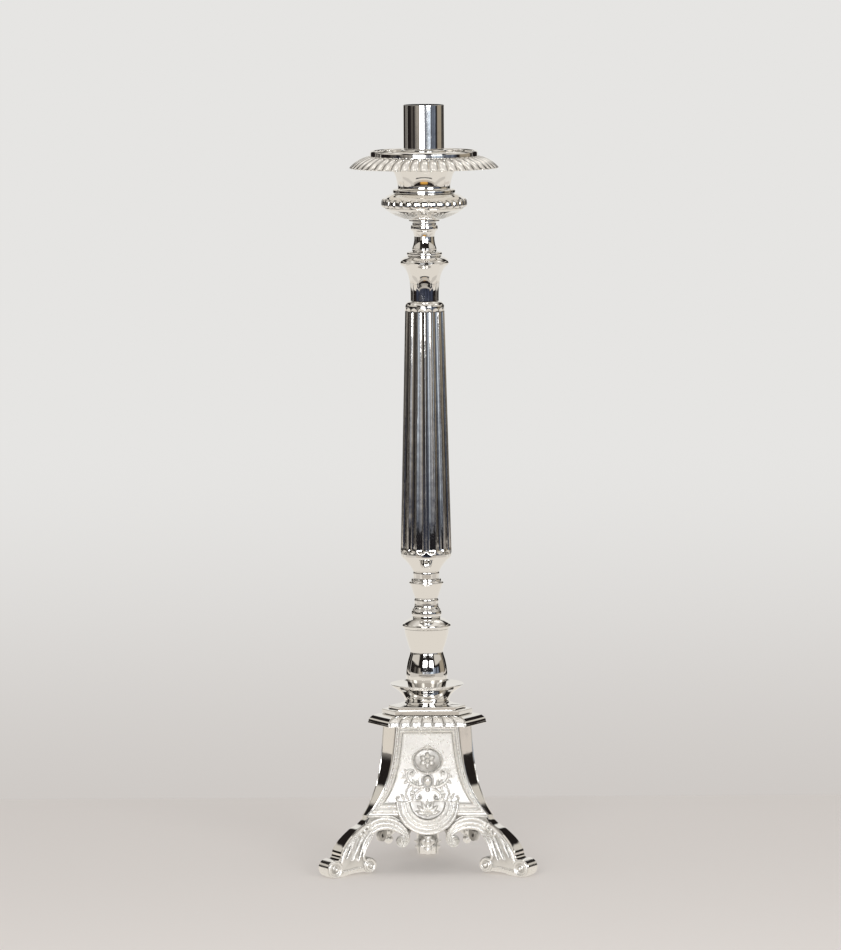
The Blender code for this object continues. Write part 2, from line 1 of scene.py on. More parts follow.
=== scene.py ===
"""Looks of a silver-plated altar candlestick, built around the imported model.

Turned pieces are spun from outlines, the castings of the base are made as reliefs and swept
scrolls, and Geometry Nodes repeat the gadroons, reeds, beads and grains.
"""
import logging
import math
from dataclasses import dataclass, field
from enum import Enum
from typing import Callable, Iterable, NamedTuple, Sequence

import bmesh
import bpy
import numpy as np
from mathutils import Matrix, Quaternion, Vector


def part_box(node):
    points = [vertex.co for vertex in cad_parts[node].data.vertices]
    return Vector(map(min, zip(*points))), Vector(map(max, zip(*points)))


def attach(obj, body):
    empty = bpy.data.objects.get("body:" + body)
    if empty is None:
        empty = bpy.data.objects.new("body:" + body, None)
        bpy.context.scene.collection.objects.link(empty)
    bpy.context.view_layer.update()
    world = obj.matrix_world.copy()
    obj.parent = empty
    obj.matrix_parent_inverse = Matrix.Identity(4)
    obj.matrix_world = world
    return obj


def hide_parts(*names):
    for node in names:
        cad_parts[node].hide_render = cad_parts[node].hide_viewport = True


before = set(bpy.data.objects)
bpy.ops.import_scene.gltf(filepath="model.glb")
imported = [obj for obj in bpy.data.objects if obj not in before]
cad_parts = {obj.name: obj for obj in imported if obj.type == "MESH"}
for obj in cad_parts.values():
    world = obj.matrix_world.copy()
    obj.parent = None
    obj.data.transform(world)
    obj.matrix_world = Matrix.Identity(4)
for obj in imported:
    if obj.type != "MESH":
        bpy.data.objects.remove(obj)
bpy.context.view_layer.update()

MM = 0.001
LOG = logging.getLogger("candlestick")
Mesh = bpy.types.Mesh
Object = bpy.types.Object
Material = bpy.types.Material
Tree = bpy.types.NodeTree
Node = bpy.types.Node
Socket = bpy.types.NodeSocket
Array = np.ndarray
Pair = tuple[float, float]
Colour = tuple[float, float, float]
FLOAT, WHOLE, VECTOR, COLOUR, GEOMETRY, MATERIAL = (
    f"NodeSocket{kind}" for kind in ("Float", "Int", "Vector", "Color", "Geometry", "Material"))
SHARP_ANGLE = 35.0  # degrees past which an edge is sharp, unless a piece says otherwise
EDGE_GAP = 0.3  # left free along the edges of neighbouring plates, in millimetres


class Body(Enum):
    """Rigid bodies of the candlestick."""

    STAND = "stand"
    PAN = "pan"
    TUBE = "tube"


class Slot(Enum):
    """Material slots of the record."""

    POLISHED = "polished_silver"
    CAST = "cast_silver"
    STEEL = "steel"


class Turn(Enum):
    """Kind of a station on a turner's outline."""

    EDGE = "edge"
    BEND = "bend"


class Station(NamedTuple):
    """A point of a turned outline, in millimetres; heights count from the foot of the piece."""

    radius: float
    height: float
    turn: Turn = Turn.BEND


def edge(radius: float, height: float) -> Station:
    """A station where the outline breaks; a plain pair is one that it bends through."""
    return Station(radius, height, Turn.EDGE)


# --- node trees ---

class NodeDesk:
    """Adds and links nodes of one tree."""

    def __init__(self, tree: Tree) -> None:
        """Keep the tree that the nodes go to."""
        self.tree = tree

    def add(self, kind: str, values: dict | None = None, **settings: object) -> Node:
        """Add a node.

        Args:
            kind: Blender's name of the node type.
            values: what goes to its inputs, by name or number; a socket is linked.
            settings: properties of the node.

        Returns:
            The new node.
        """
        node = self.tree.nodes.new(kind)
        for key, value in settings.items():
            setattr(node, key, value)
        self.fill(node, values or {})
        return node

    def fill(self, node: Node, values: dict) -> None:
        """Link or set the inputs of a node.

        Args:
            node: the node.
            values: what goes to its inputs, by name or number; a socket is linked.
        """
        for key, value in values.items():
            if isinstance(value, Socket):
                self.tree.links.new(value, node.inputs[key])
            else:
                node.inputs[key].default_value = value

    def group(self, tree: Tree, values: dict[str, object]) -> Node:
        """Place a node group with its own values."""
        return self.add("ShaderNodeGroup", values, node_tree=tree)

    def math(self, operation: str, *values: object) -> Socket:
        """Result of a math node."""
        return self.add("ShaderNodeMath", dict(enumerate(values)), operation=operation).outputs[0]

    def times(self, first: object, second: object) -> Socket:
        """Product of two values."""
        return self.math("MULTIPLY", first, second)

    def plus(self, first: object, second: object) -> Socket:
        """Sum of two values."""
        return self.math("ADD", first, second)

    def minus(self, first: object, second: object) -> Socket:
        """Difference of two values."""
        return self.math("SUBTRACT", first, second)

    def smooth(self, value: Socket, low: object, high: object) -> Socket:
        """Smooth step of a value from 0 at `low` to 1 at `high`."""
        return self.add("ShaderNodeMapRange", {"Value": value, "From Min": low, "From Max": high},
                        interpolation_type="SMOOTHSTEP").outputs["Result"]

    def mix(self, factor: object, first: object, second: object) -> Socket:
        """Mix of two colours; the sockets have equal names, so they go by number."""
        return self.add("ShaderNodeMix", {0: factor, 6: first, 7: second},
                        data_type="RGBA").outputs[2]


def new_group(name: str, kind: str, inputs: dict[str, tuple[str, object]],
              outputs: dict[str, str]) -> tuple[NodeDesk, Node, Node]:
    """Make a node group with named sockets.

    Args:
        name: the group's name.
        kind: ShaderNodeTree or GeometryNodeTree.
        inputs: socket name to socket type and default value.
        outputs: socket name to socket type.

    Returns:
        The desk for its nodes, the input node and the output node.
    """
    tree = bpy.data.node_groups.new(name, kind)
    for title, (socket_type, default) in inputs.items():
        socket = tree.interface.new_socket(title, in_out="INPUT", socket_type=socket_type)
        if default is not None:
            socket.default_value = default
    for title, socket_type in outputs.items():
        tree.interface.new_socket(title, in_out="OUTPUT", socket_type=socket_type)
    desk = NodeDesk(tree)
    return desk, desk.add("NodeGroupInput"), desk.add("NodeGroupOutput")


# --- shader groups and finishes ---

@dataclass(frozen=True)
class ShaderGroups:
    """The effects that several finishes share."""

    wipe: Tree
    grain: Tree
    tarnish: Tree

    @classmethod
    def build(cls) -> "ShaderGroups":
        """Build every group once."""
        return cls(cls._wipe(), cls._grain(), cls._tarnish())

    @staticmethod
    def _wipe() -> Tree:
        """Cloth wipes and haze on polished plate: a roughness and a very shallow height."""
        desk, start, end = new_group(
            "wipe_marks", "ShaderNodeTree",
            {"Coordinates": (VECTOR, None), "Length": (FLOAT, 9.0),
             "Polished": (FLOAT, 0.03), "Hazed": (FLOAT, 0.1)},
            {"Roughness": FLOAT, "Height": FLOAT})
        stretch = desk.add("ShaderNodeMapping", {"Vector": start.outputs["Coordinates"],
                                                 "Scale": (170.0, 170.0, 16.0)})
        streaks = desk.add("ShaderNodeTexNoise", {"Vector": stretch.outputs[0], "Scale": 1.0,
                                                  "Detail": 4.0, "Roughness": 0.6})
        patches = desk.add("ShaderNodeTexNoise", {"Vector": start.outputs["Coordinates"],
                                                  "Scale": start.outputs["Length"], "Detail": 3.0})
        both = desk.times(desk.smooth(streaks.outputs[0], 0.4, 0.7),
                         desk.smooth(patches.outputs[0], 0.35, 0.7))
        rough = desk.add("ShaderNodeMapRange", {
            "Value": both, "To Min": start.outputs["Polished"], "To Max": start.outputs["Hazed"]})
        wave = desk.add("ShaderNodeTexNoise", {"Vector": start.outputs["Coordinates"],
                                               "Scale": 55.0, "Detail": 2.0})
        desk.fill(end, {"Roughness": rough.outputs[0], "Height": wave.outputs[0]})
        return desk.tree

    @staticmethod
    def _grain() -> Tree:
        """Fine granular skin of a casting that was plated without polishing."""
        desk, start, end = new_group(
            "cast_grain", "ShaderNodeTree",
            {"Coordinates": (VECTOR, None), "Size": (FLOAT, 1600.0)},
            {"Height": FLOAT, "Sparkle": FLOAT})
        grains = desk.add("ShaderNodeTexVoronoi", {"Vector": start.outputs["Coordinates"],
                                                   "Scale": start.outputs["Size"]})
        swell = desk.add("ShaderNodeTexNoise", {"Vector": start.outputs["Coordinates"],
                                                "Scale": 420.0, "Detail": 3.0})
        desk.fill(end, {
            "Height": desk.plus(desk.times(grains.outputs["Distance"], 0.5), swell.outputs[0]),
            "Sparkle": desk.smooth(swell.outputs[0], 0.4, 0.62)})
        return desk.tree

    @staticmethod
    def _tarnish() -> Tree:
        """Warm film in recesses, real tarnish, which on the cast finish also paints shade in the
        grooves and on the legs' inner faces; its recess input is 1 at the bottom of a recess.
        """
        desk, start, end = new_group(
            "tarnish", "ShaderNodeTree",
            {"Coordinates": (VECTOR, None), "Hollow": (FLOAT, 0.0),
             "Amount": (FLOAT, 0.5), "Clean": (COLOUR, (1, 1, 1, 1)),
             "Film": (COLOUR, (0.5, 0.4, 0.3, 1))},
            {"Colour": COLOUR, "Mask": FLOAT})
        cloud = desk.add("ShaderNodeTexNoise", {"Vector": start.outputs["Coordinates"],
                                                "Scale": 90.0, "Detail": 4.0})
        broken = desk.add("ShaderNodeMapRange", {"Value": cloud.outputs[0], "To Min": 0.55,
                                                 "To Max": 1.15, "From Min": 0.3,
                                                 "From Max": 0.7})
        mask = desk.times(start.outputs["Hollow"], broken.outputs[0])
        mask = desk.add("ShaderNodeMath", {0: mask, 1: start.outputs["Amount"]},
                        operation="MULTIPLY", use_clamp=True).outputs[0]
        desk.fill(end, {"Colour": desk.mix(mask, start.outputs["Clean"], start.outputs["Film"]),
                        "Mask": mask})
        return desk.tree


def new_finish(name: str) -> tuple[Material, NodeDesk, Node, Socket]:
    """Start the material of a finish.

    Args:
        name: name of the material.

    Returns:
        The material, the desk for its nodes, its shader and the object's own coordinates.
    """
    mat = bpy.data.materials.new(name)
    mat.use_nodes = True
    desk = NodeDesk(mat.node_tree)
    where = desk.add("ShaderNodeTexCoord").outputs["Object"]
    return mat, desk, mat.node_tree.nodes["Principled BSDF"], where


def bare_material(name: str) -> tuple[Material, NodeDesk]:
    """Start a material without a shader.

    Args:
        name: name of the material.

    Returns:
        The material and the desk for its nodes.
    """
    mat = bpy.data.materials.new(name)
    mat.use_nodes = True
    mat.node_tree.nodes.clear()
    return mat, NodeDesk(mat.node_tree)


@dataclass(frozen=True)
class PolishedSilver:
    """Mirror-polished plate, as on every turned piece."""

    name: str = "polished_plate"
    clean: Colour = (0.93, 0.92, 0.9)
    film: Colour = (0.62, 0.55, 0.44)
    polished: float = 0.04
    hazed: float = 0.13
    wave_depth: float = 0.00006
    tarnish: float = 0.35

    def material(self, groups: ShaderGroups) -> Material:
        """Build the finish.

        Args:
            groups: the shared effects.

        Returns:
            The material.
        """
        mat, desk, shader, where = new_finish(self.name)
        hollow_and_shade = desk.add("ShaderNodeAttribute", attribute_name="hollow_and_shade").outputs["Fac"]
        wipe = desk.group(groups.wipe, {"Coordinates": where, "Polished": self.polished,
                                        "Hazed": self.hazed})
        film = desk.group(groups.tarnish, {
            "Coordinates": where, "Hollow": hollow_and_shade, "Amount": self.tarnish,
            "Clean": (*self.clean, 1), "Film": (*self.film, 1)})
        bump = desk.add("ShaderNodeBump", {"Height": wipe.outputs["Height"], "Strength": 1.0,
                                           "Distance": self.wave_depth})
        desk.fill(shader, {"Base Color": film.outputs["Colour"], "Metallic": 1.0,
                           "Roughness": wipe.outputs["Roughness"],
                           "Normal": bump.outputs["Normal"]})
        return mat


@dataclass(frozen=True)
class CastSilver:
    """Bright plate over a fine cast surface, warmer and darker in recesses: partly tarnish, partly
    painted shade.
    """

    name: str = "cast_plate"
    clean: Colour = (0.975, 0.97, 0.955)
    # dark film: partly tarnish, partly painted shade that stands in for the shading of the grooves
    # and of the legs' inner faces
    film: Colour = (0.24, 0.225, 0.205)
    smooth: float = 0.26
    frosted: float = 0.42
    sparkle: float = 0.06
    grain_depth: float = 0.0001
    tarnish: float = 0.85

    def material(self, groups: ShaderGroups) -> Material:
        """Build the finish.

        Args:
            groups: the shared effects.

        Returns:
            The material.
        """
        mat, desk, shader, where = new_finish(self.name)
        hollow_and_shade = desk.add("ShaderNodeAttribute", attribute_name="hollow_and_shade").outputs["Fac"]
        grain = desk.group(groups.grain, {"Coordinates": where})
        # film: partly tarnish, partly painted shade in the grooves and on the legs' inner faces
        film = desk.group(groups.tarnish, {
            "Coordinates": where, "Hollow": hollow_and_shade, "Amount": self.tarnish,
            "Clean": (*self.clean, 1), "Film": (*self.film, 1)})
        rough = desk.add("ShaderNodeMapRange", {"Value": film.outputs["Mask"],
                                                "To Min": self.smooth, "To Max": self.frosted})
        rough = desk.plus(rough.outputs[0], desk.times(grain.outputs["Sparkle"], self.sparkle))
        bump = desk.add("ShaderNodeBump", {"Height": grain.outputs["Height"], "Strength": 1.0,
                                           "Distance": self.grain_depth})
        desk.fill(shader, {"Base Color": film.outputs["Colour"], "Metallic": 1.0,
                           "Roughness": rough, "Normal": bump.outputs["Normal"]})
        return mat


@dataclass(frozen=True)
class ZincSteel:
    """Turned and rolled steel of the rod and its fasteners."""

    name: str = "zinc_steel"
    clean: Colour = (0.5, 0.5, 0.5)
    film: Colour = (0.3, 0.24, 0.19)
    polished: float = 0.28
    hazed: float = 0.5
    tarnish: float = 0.6

    def material(self, groups: ShaderGroups) -> Material:
        """Build the finish.

        Args:
            groups: the shared effects.

        Returns:
            The material.
        """
        mat, desk, shader, where = new_finish(self.name)
        spots = desk.add("ShaderNodeTexNoise", {"Vector": where, "Scale": 260.0, "Detail": 3.0})
        wipe = desk.group(groups.wipe, {"Coordinates": where, "Polished": self.polished,
                                        "Hazed": self.hazed})
        film = desk.group(groups.tarnish, {
            "Coordinates": where, "Hollow": desk.smooth(spots.outputs[0], 0.5, 0.75),
            "Amount": self.tarnish, "Clean": (*self.clean, 1), "Film": (*self.film, 1)})
        desk.fill(shader, {"Base Color": film.outputs["Colour"], "Metallic": 1.0,
                           "Roughness": wipe.outputs["Roughness"]})
        return mat


@dataclass(frozen=True)
class Finishes:
    """The three finishes, by slot."""

    polished: Material
    cast: Material
    steel: Material

    @classmethod
    def build(cls) -> "Finishes":
        """Build every finish once."""
        groups = ShaderGroups.build()
        return cls(PolishedSilver().material(groups), CastSilver().material(groups),
                   ZincSteel().material(groups))

    def of(self, slot: Slot) -> Material:
        """Material of a slot."""
        return {Slot.POLISHED: self.polished, Slot.CAST: self.cast, Slot.STEEL: self.steel}[slot]


# --- mesh making ---

@dataclass
class Shell:
    """Grids of points that grow into one mesh; points are in millimetres about the spindle."""

    points: list[Array] = field(default_factory=list)
    # per point: depth in a recess, for tarnish, and painted shade on the legs' inner faces
    hollows_and_shade: list[Array] = field(default_factory=list)
    faces: list[Array] = field(default_factory=list)
    caps: list[list[int]] = field(default_factory=list)
    count: int = 0

    def grid(self, rows: Array, wrap_rows: bool = False, wrap_columns: bool = True,
             cap: bool = False, hollow_and_shade: Array | float = 0.0) -> "Shell":
        """Add a grid of points with faces between neighbours.

        Args:
            rows: array of rows x columns x 3.
            wrap_rows: join the last row to the first.
            wrap_columns: join the last column to the first.
            cap: close the first and last row with a face.
            hollow_and_shade: how deep in a recess each point lies, 0 to 1, and painted shade on the
                legs' inner faces.

        Returns:
            The shell itself.
        """
        height, width = rows.shape[:2]
        index = self.count + np.arange(height * width).reshape(height, width)
        if wrap_rows:
            index = np.vstack((index, index[:1]))
        if wrap_columns:
            index = np.hstack((index, index[:, :1]))
        self.faces.append(np.stack((index[:-1, :-1], index[:-1, 1:], index[1:, 1:],
                                    index[1:, :-1]), axis=-1).reshape(-1, 4))
        if cap:
            self.caps += [list(index[0, :width]), list(index[-1, width - 1::-1])]
        self.points.append(rows.reshape(-1, 3))
        self.hollows_and_shade.append(np.broadcast_to(hollow_and_shade, (height, width)).reshape(-1))
        self.count += height * width
        return self

    def joined_to(self, other: "Shell") -> "Shell":
        """Take the points and faces of another shell into this one.

        Args:
            other: the shell to add, which stays as it is.

        Returns:
            The shell itself.
        """
        self.points += other.points
        self.hollows_and_shade += other.hollows_and_shade
        self.faces += [faces + self.count for faces in other.faces]
        self.caps += [[i + self.count for i in ring] for ring in other.caps]
        self.count += other.count
        return self

    def turned(self, turn: float) -> "Shell":
        """A copy of the shell, turned about the spindle.

        Args:
            turn: angle in degrees.

        Returns:
            The copy.
        """
        angle = math.radians(turn)
        spin = np.array(((math.cos(angle), math.sin(angle), 0.0),
                         (-math.sin(angle), math.cos(angle), 0.0), (0.0, 0.0, 1.0)))
        copy = Shell().joined_to(self)
        copy.points = [points @ spin for points in self.points]
        return copy

    def mirror_image(self) -> "Shell":
        """A copy of the shell, mirrored in the plane x = 0."""
        copy = self.turned(0.0)
        copy.points = [points * np.array((-1.0, 1.0, 1.0)) for points in copy.points]
        return copy

    def raw_mesh(self, name: str, offset: Sequence[float] = (0.0, 0.0, 0.0)) -> Mesh:
        """Write the shell to a mesh; without an offset it suits the node trees.

        Args:
            name: name of the mesh.
            offset: place of the Z axis, in metres.

        Returns:
            A mesh in metres with the attribute `hollow_and_shade`.
        """
        mesh = bpy.data.meshes.new(name)
        verts = np.concatenate(self.points) * MM + np.array(offset)
        faces = [list(face) for block in self.faces for face in block.tolist()] + self.caps
        mesh.from_pydata(verts.tolist(), [], faces)
        layer = mesh.attributes.new("hollow_and_shade", "FLOAT", "POINT")
        layer.data.foreach_set("value", np.concatenate(self.hollows_and_shade).astype(np.float32))
        return mesh

    def mesh(self, name: str, crease: float = SHARP_ANGLE) -> Mesh:
        """Write the shell to a mesh about the spindle.

        Args:
            name: name of the mesh.
            crease: angle in degrees past which an edge is sharp.

        Returns:
            A closed mesh in metres with its faces outwards and the attribute `hollow_and_shade`.
        """
        return tidy_mesh(self.raw_mesh(name, (SPINDLE.x, SPINDLE.y, 0.0)), crease)


def tidy_mesh(mesh: Mesh, crease: float = SHARP_ANGLE, merge: float = 0.000004) -> Mesh:
    """Merge doubles, drop slivers, turn the faces outwards and shade smooth below a crease.

    Args:
        mesh: the mesh, changed in place.
        crease: angle in degrees past which an edge is sharp.
        merge: points closer than this, in metres, are one.

    Returns:
        The same mesh.
    """
    work = bmesh.new()
    work.from_mesh(mesh)
    bmesh.ops.remove_doubles(work, verts=work.verts, dist=merge)
    bmesh.ops.dissolve_degenerate(work, edges=work.edges, dist=merge / 2)
    bmesh.ops.recalc_face_normals(work, faces=work.faces)
    work.to_mesh(mesh)
    work.free()
    mesh.shade_smooth()
    mesh.set_sharp_from_angle(angle=math.radians(crease))
    return mesh


def smooth_line(points: Sequence[Sequence[float]], step: float) -> Array:
    """Catmull-Rom curve through points.

    Args:
        points: points of the line, of any dimension.
        step: greatest distance between the points of the result.

    Returns:
        Array of points x dimension, with the first and the last point kept.
    """
    knots = np.asarray(points, float)
    if len(knots) < 3:
        count = max(1, math.ceil(np.linalg.norm(knots[-1] - knots[0]) / step))
        share = np.linspace(0.0, 1.0, count + 1)[:, None]
        return knots[0] + (knots[-1] - knots[0]) * share
    padded = np.vstack((2 * knots[0] - knots[1], knots, 2 * knots[-1] - knots[-2]))
    line = [knots[0]]
    for before, start, end, after in zip(padded, padded[1:], padded[2:], padded[3:]):
        gap = np.linalg.norm(end - start)
        slope_in = (end - before) * gap / (gap + np.linalg.norm(start - before) + 1e-9)
        slope_out = (after - start) * gap / (gap + np.linalg.norm(after - end) + 1e-9)
        count = max(2, math.ceil(gap / step))
        for t in (np.arange(count) + 1.0) / count:
            line.append((2 * t ** 3 - 3 * t ** 2 + 1) * start + (t ** 3 - 2 * t ** 2 + t) * slope_in
                        + (3 * t ** 2 - 2 * t ** 3) * end + (t ** 3 - t ** 2) * slope_out)
    return np.array(line)


def run_length(line: Array) -> Array:
    """Distance of each point of a line along it, from its first point."""
    return np.concatenate(([0.0], np.cumsum(np.linalg.norm(np.diff(line, axis=0), axis=1))))


def left_normals(path: Array, closed: bool = False) -> Array:
    """Unit vectors to the left of a plane line.

    Args:
        path: its points.
        closed: the line is a loop.

    Returns:
        A vector for each point.
    """
    if closed:
        slope = np.roll(path, -1, axis=0) - np.roll(path, 1, axis=0)
    else:
        slope = np.gradient(path, axis=0)
    slope /= np.maximum(np.linalg.norm(slope, axis=1), 1e-9)[:, None]
    return np.stack((-slope[:, 1], slope[:, 0]), axis=1)


def arc(centre: Pair, radius: float, start: float, end: float, count: int) -> Array:
    """Points of a plane arc; angles are in degrees."""
    return spiral(centre, radius, radius, start, end, count)


def spiral(centre: Pair, first: float, last: float, start: float, end: float,
           count: int) -> Array:
    """Points of a plane spiral.

    Args:
        centre: its middle.
        first: radius at the start.
        last: radius at the end.
        start: angle of the start, in degrees.
        end: angle of the end.
        count: number of points.

    Returns:
        Array of points x 2.
    """
    angle = np.radians(np.linspace(start, end, count))
    reach = np.linspace(first, last, count)
    return np.stack((centre[0] + reach * np.cos(angle), centre[1] + reach * np.sin(angle)), axis=1)


def turner_line(stations: Sequence[Station | Pair], step: float, rounding: float) -> Array:
    """Line of a turned outline: smooth through its bends, with a small round on each edge.

    Args:
        stations: the outline; its first and last station are edges.
        step: greatest length of a segment, in millimetres.
        rounding: length taken off each side of an inner edge, in millimetres.

    Returns:
        Array of (radius, height) in millimetres.
    """
    stations = [Station(*station) for station in stations]
    runs: list[Array] = []
    start = 0
    for i, station in enumerate(stations):
        if i and station.turn is Turn.EDGE:
            runs.append(smooth_line([(s.radius, s.height) for s in stations[start:i + 1]], step))
            start = i
    line = [runs[0][0]]
    for i, run in enumerate(runs):
        length = np.linalg.norm(np.diff(run, axis=0), axis=1).sum()
        cut = min(rounding, length / 4)
        along = run_length(run)
        first = cut if i else 0.0
        last = length - (cut if i + 1 < len(runs) else 0.0)
        marks = [first] + [a for a in along if first + cut / 2 < a < last - cut / 2] + [last]
        pieces = np.stack([np.interp(marks, along, run[:, axis]) for axis in (0, 1)], axis=1)
        if i:
            corner, before, after = run[0], line[-1], pieces[0]
            for t in (0.25, 0.5, 0.75):
                line.append((1 - t) ** 2 * before + 2 * t * (1 - t) * corner + t ** 2 * after)
        line += list(pieces if i else pieces[1:])
    return np.array(line)


def spun(line: Array, sides: int) -> Array:
    """Grid of a line turned about the Z axis.

    Args:
        line: (radius, height) points of a closed outline.
        sides: number of columns.

    Returns:
        Array of rows x columns x 3.
    """
    angle = np.linspace(0.0, math.tau, sides, endpoint=False)
    reach = line[:, :1] * np.ones(sides)
    return np.stack((reach * np.cos(angle), reach * np.sin(angle),
                     np.repeat(line[:, 1:], sides, axis=1)), axis=-1)


# --- dressing ---

def height_range(node: str) -> Pair:
    """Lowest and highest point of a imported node, in millimetres."""
    low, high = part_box(node)
    return low[2] / MM, high[2] / MM


TUBE_LOW, TUBE_HIGH = (Vector(corner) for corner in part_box("candle_tube"))
SPINDLE = (TUBE_LOW + TUBE_HIGH) / 2


def into_scene(name: str, data: object) -> Object:
    """Make an object of some data and link it to the scene.

    Args:
        name: name of the object.
        data: its mesh, light or camera.

    Returns:
        The object.
    """
    thing = bpy.data.objects.new(name, data)
    bpy.context.scene.collection.objects.link(thing)
    return thing


class Workshop:
    """Links finished meshes to the scene and ties them to the frame."""

    def __init__(self, finishes: Finishes) -> None:
        """Keep the finishes."""
        self.finishes = finishes
        self.tools = GeometryTools.build()

    def place(self, name: str, mesh: Mesh, slot: Slot, body: Body = Body.STAND,
              nodes: Sequence[str] = ()) -> Object:
        """Make a piece of the visual model.

        Args:
            name: name of the piece.
            mesh: its mesh, in the frame's place.
            slot: its finish.
            body: the body it rides on.
            nodes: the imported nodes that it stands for.

        Returns:
            The object.
        """
        mesh.name = name
        mesh.materials.clear()
        mesh.materials.append(self.finishes.of(slot))
        piece = into_scene(name, mesh)
        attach(piece, body.value)
        if nodes:
            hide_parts(*nodes)
        LOG.info("%s: %d faces", name, len(mesh.polygons))
        return piece

    def place_round(self, turns: dict[str, float], shell: Shell, piece: str, node: str,
                    slot: Slot, crease: float = SHARP_ANGLE) -> None:
        """Place copies of a shell round the spindle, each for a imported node.

        Args:
            turns: the name of each place and its turn in degrees.
            shell: the shell in the first place.
            piece: name of the pieces, before the name of the place.
            node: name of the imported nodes, before the name of the place.
            slot: their finish.
            crease: angle in degrees past which an edge is sharp.
        """
        for place, turn in turns.items():
            self.place(f"{piece}_{place}", shell.turned(turn).mesh(piece, crease), slot,
                       nodes=(f"{node}_{place}",))

    def run_tree(self, mesh: Mesh, tree: Tree, values: dict[str, object], slot: Slot,
                 crease: float = SHARP_ANGLE) -> Mesh:
        """Run a Geometry Nodes tree on a mesh and keep the result as a plain mesh.

        Args:
            mesh: what the tree starts from.
            tree: the tree.
            values: its inputs by name.
            slot: finish that the tree sets.
            crease: angle in degrees past which an edge is sharp.

        Returns:
            The new mesh.
        """
        holder = into_scene("holder", mesh)
        modifier = holder.modifiers.new("tree", "NODES")
        modifier.node_group = tree
        for title, value in {**values, "Material": self.finishes.of(slot)}.items():
            modifier[tree.interface.items_tree[title].identifier] = value
        graph = bpy.context.evaluated_depsgraph_get()
        result = bpy.data.meshes.new_from_object(holder.evaluated_get(graph))
        holder.modifiers.clear()
        bpy.data.objects.remove(holder)
        return tidy_mesh(result, crease)


# --- Geometry Nodes ---

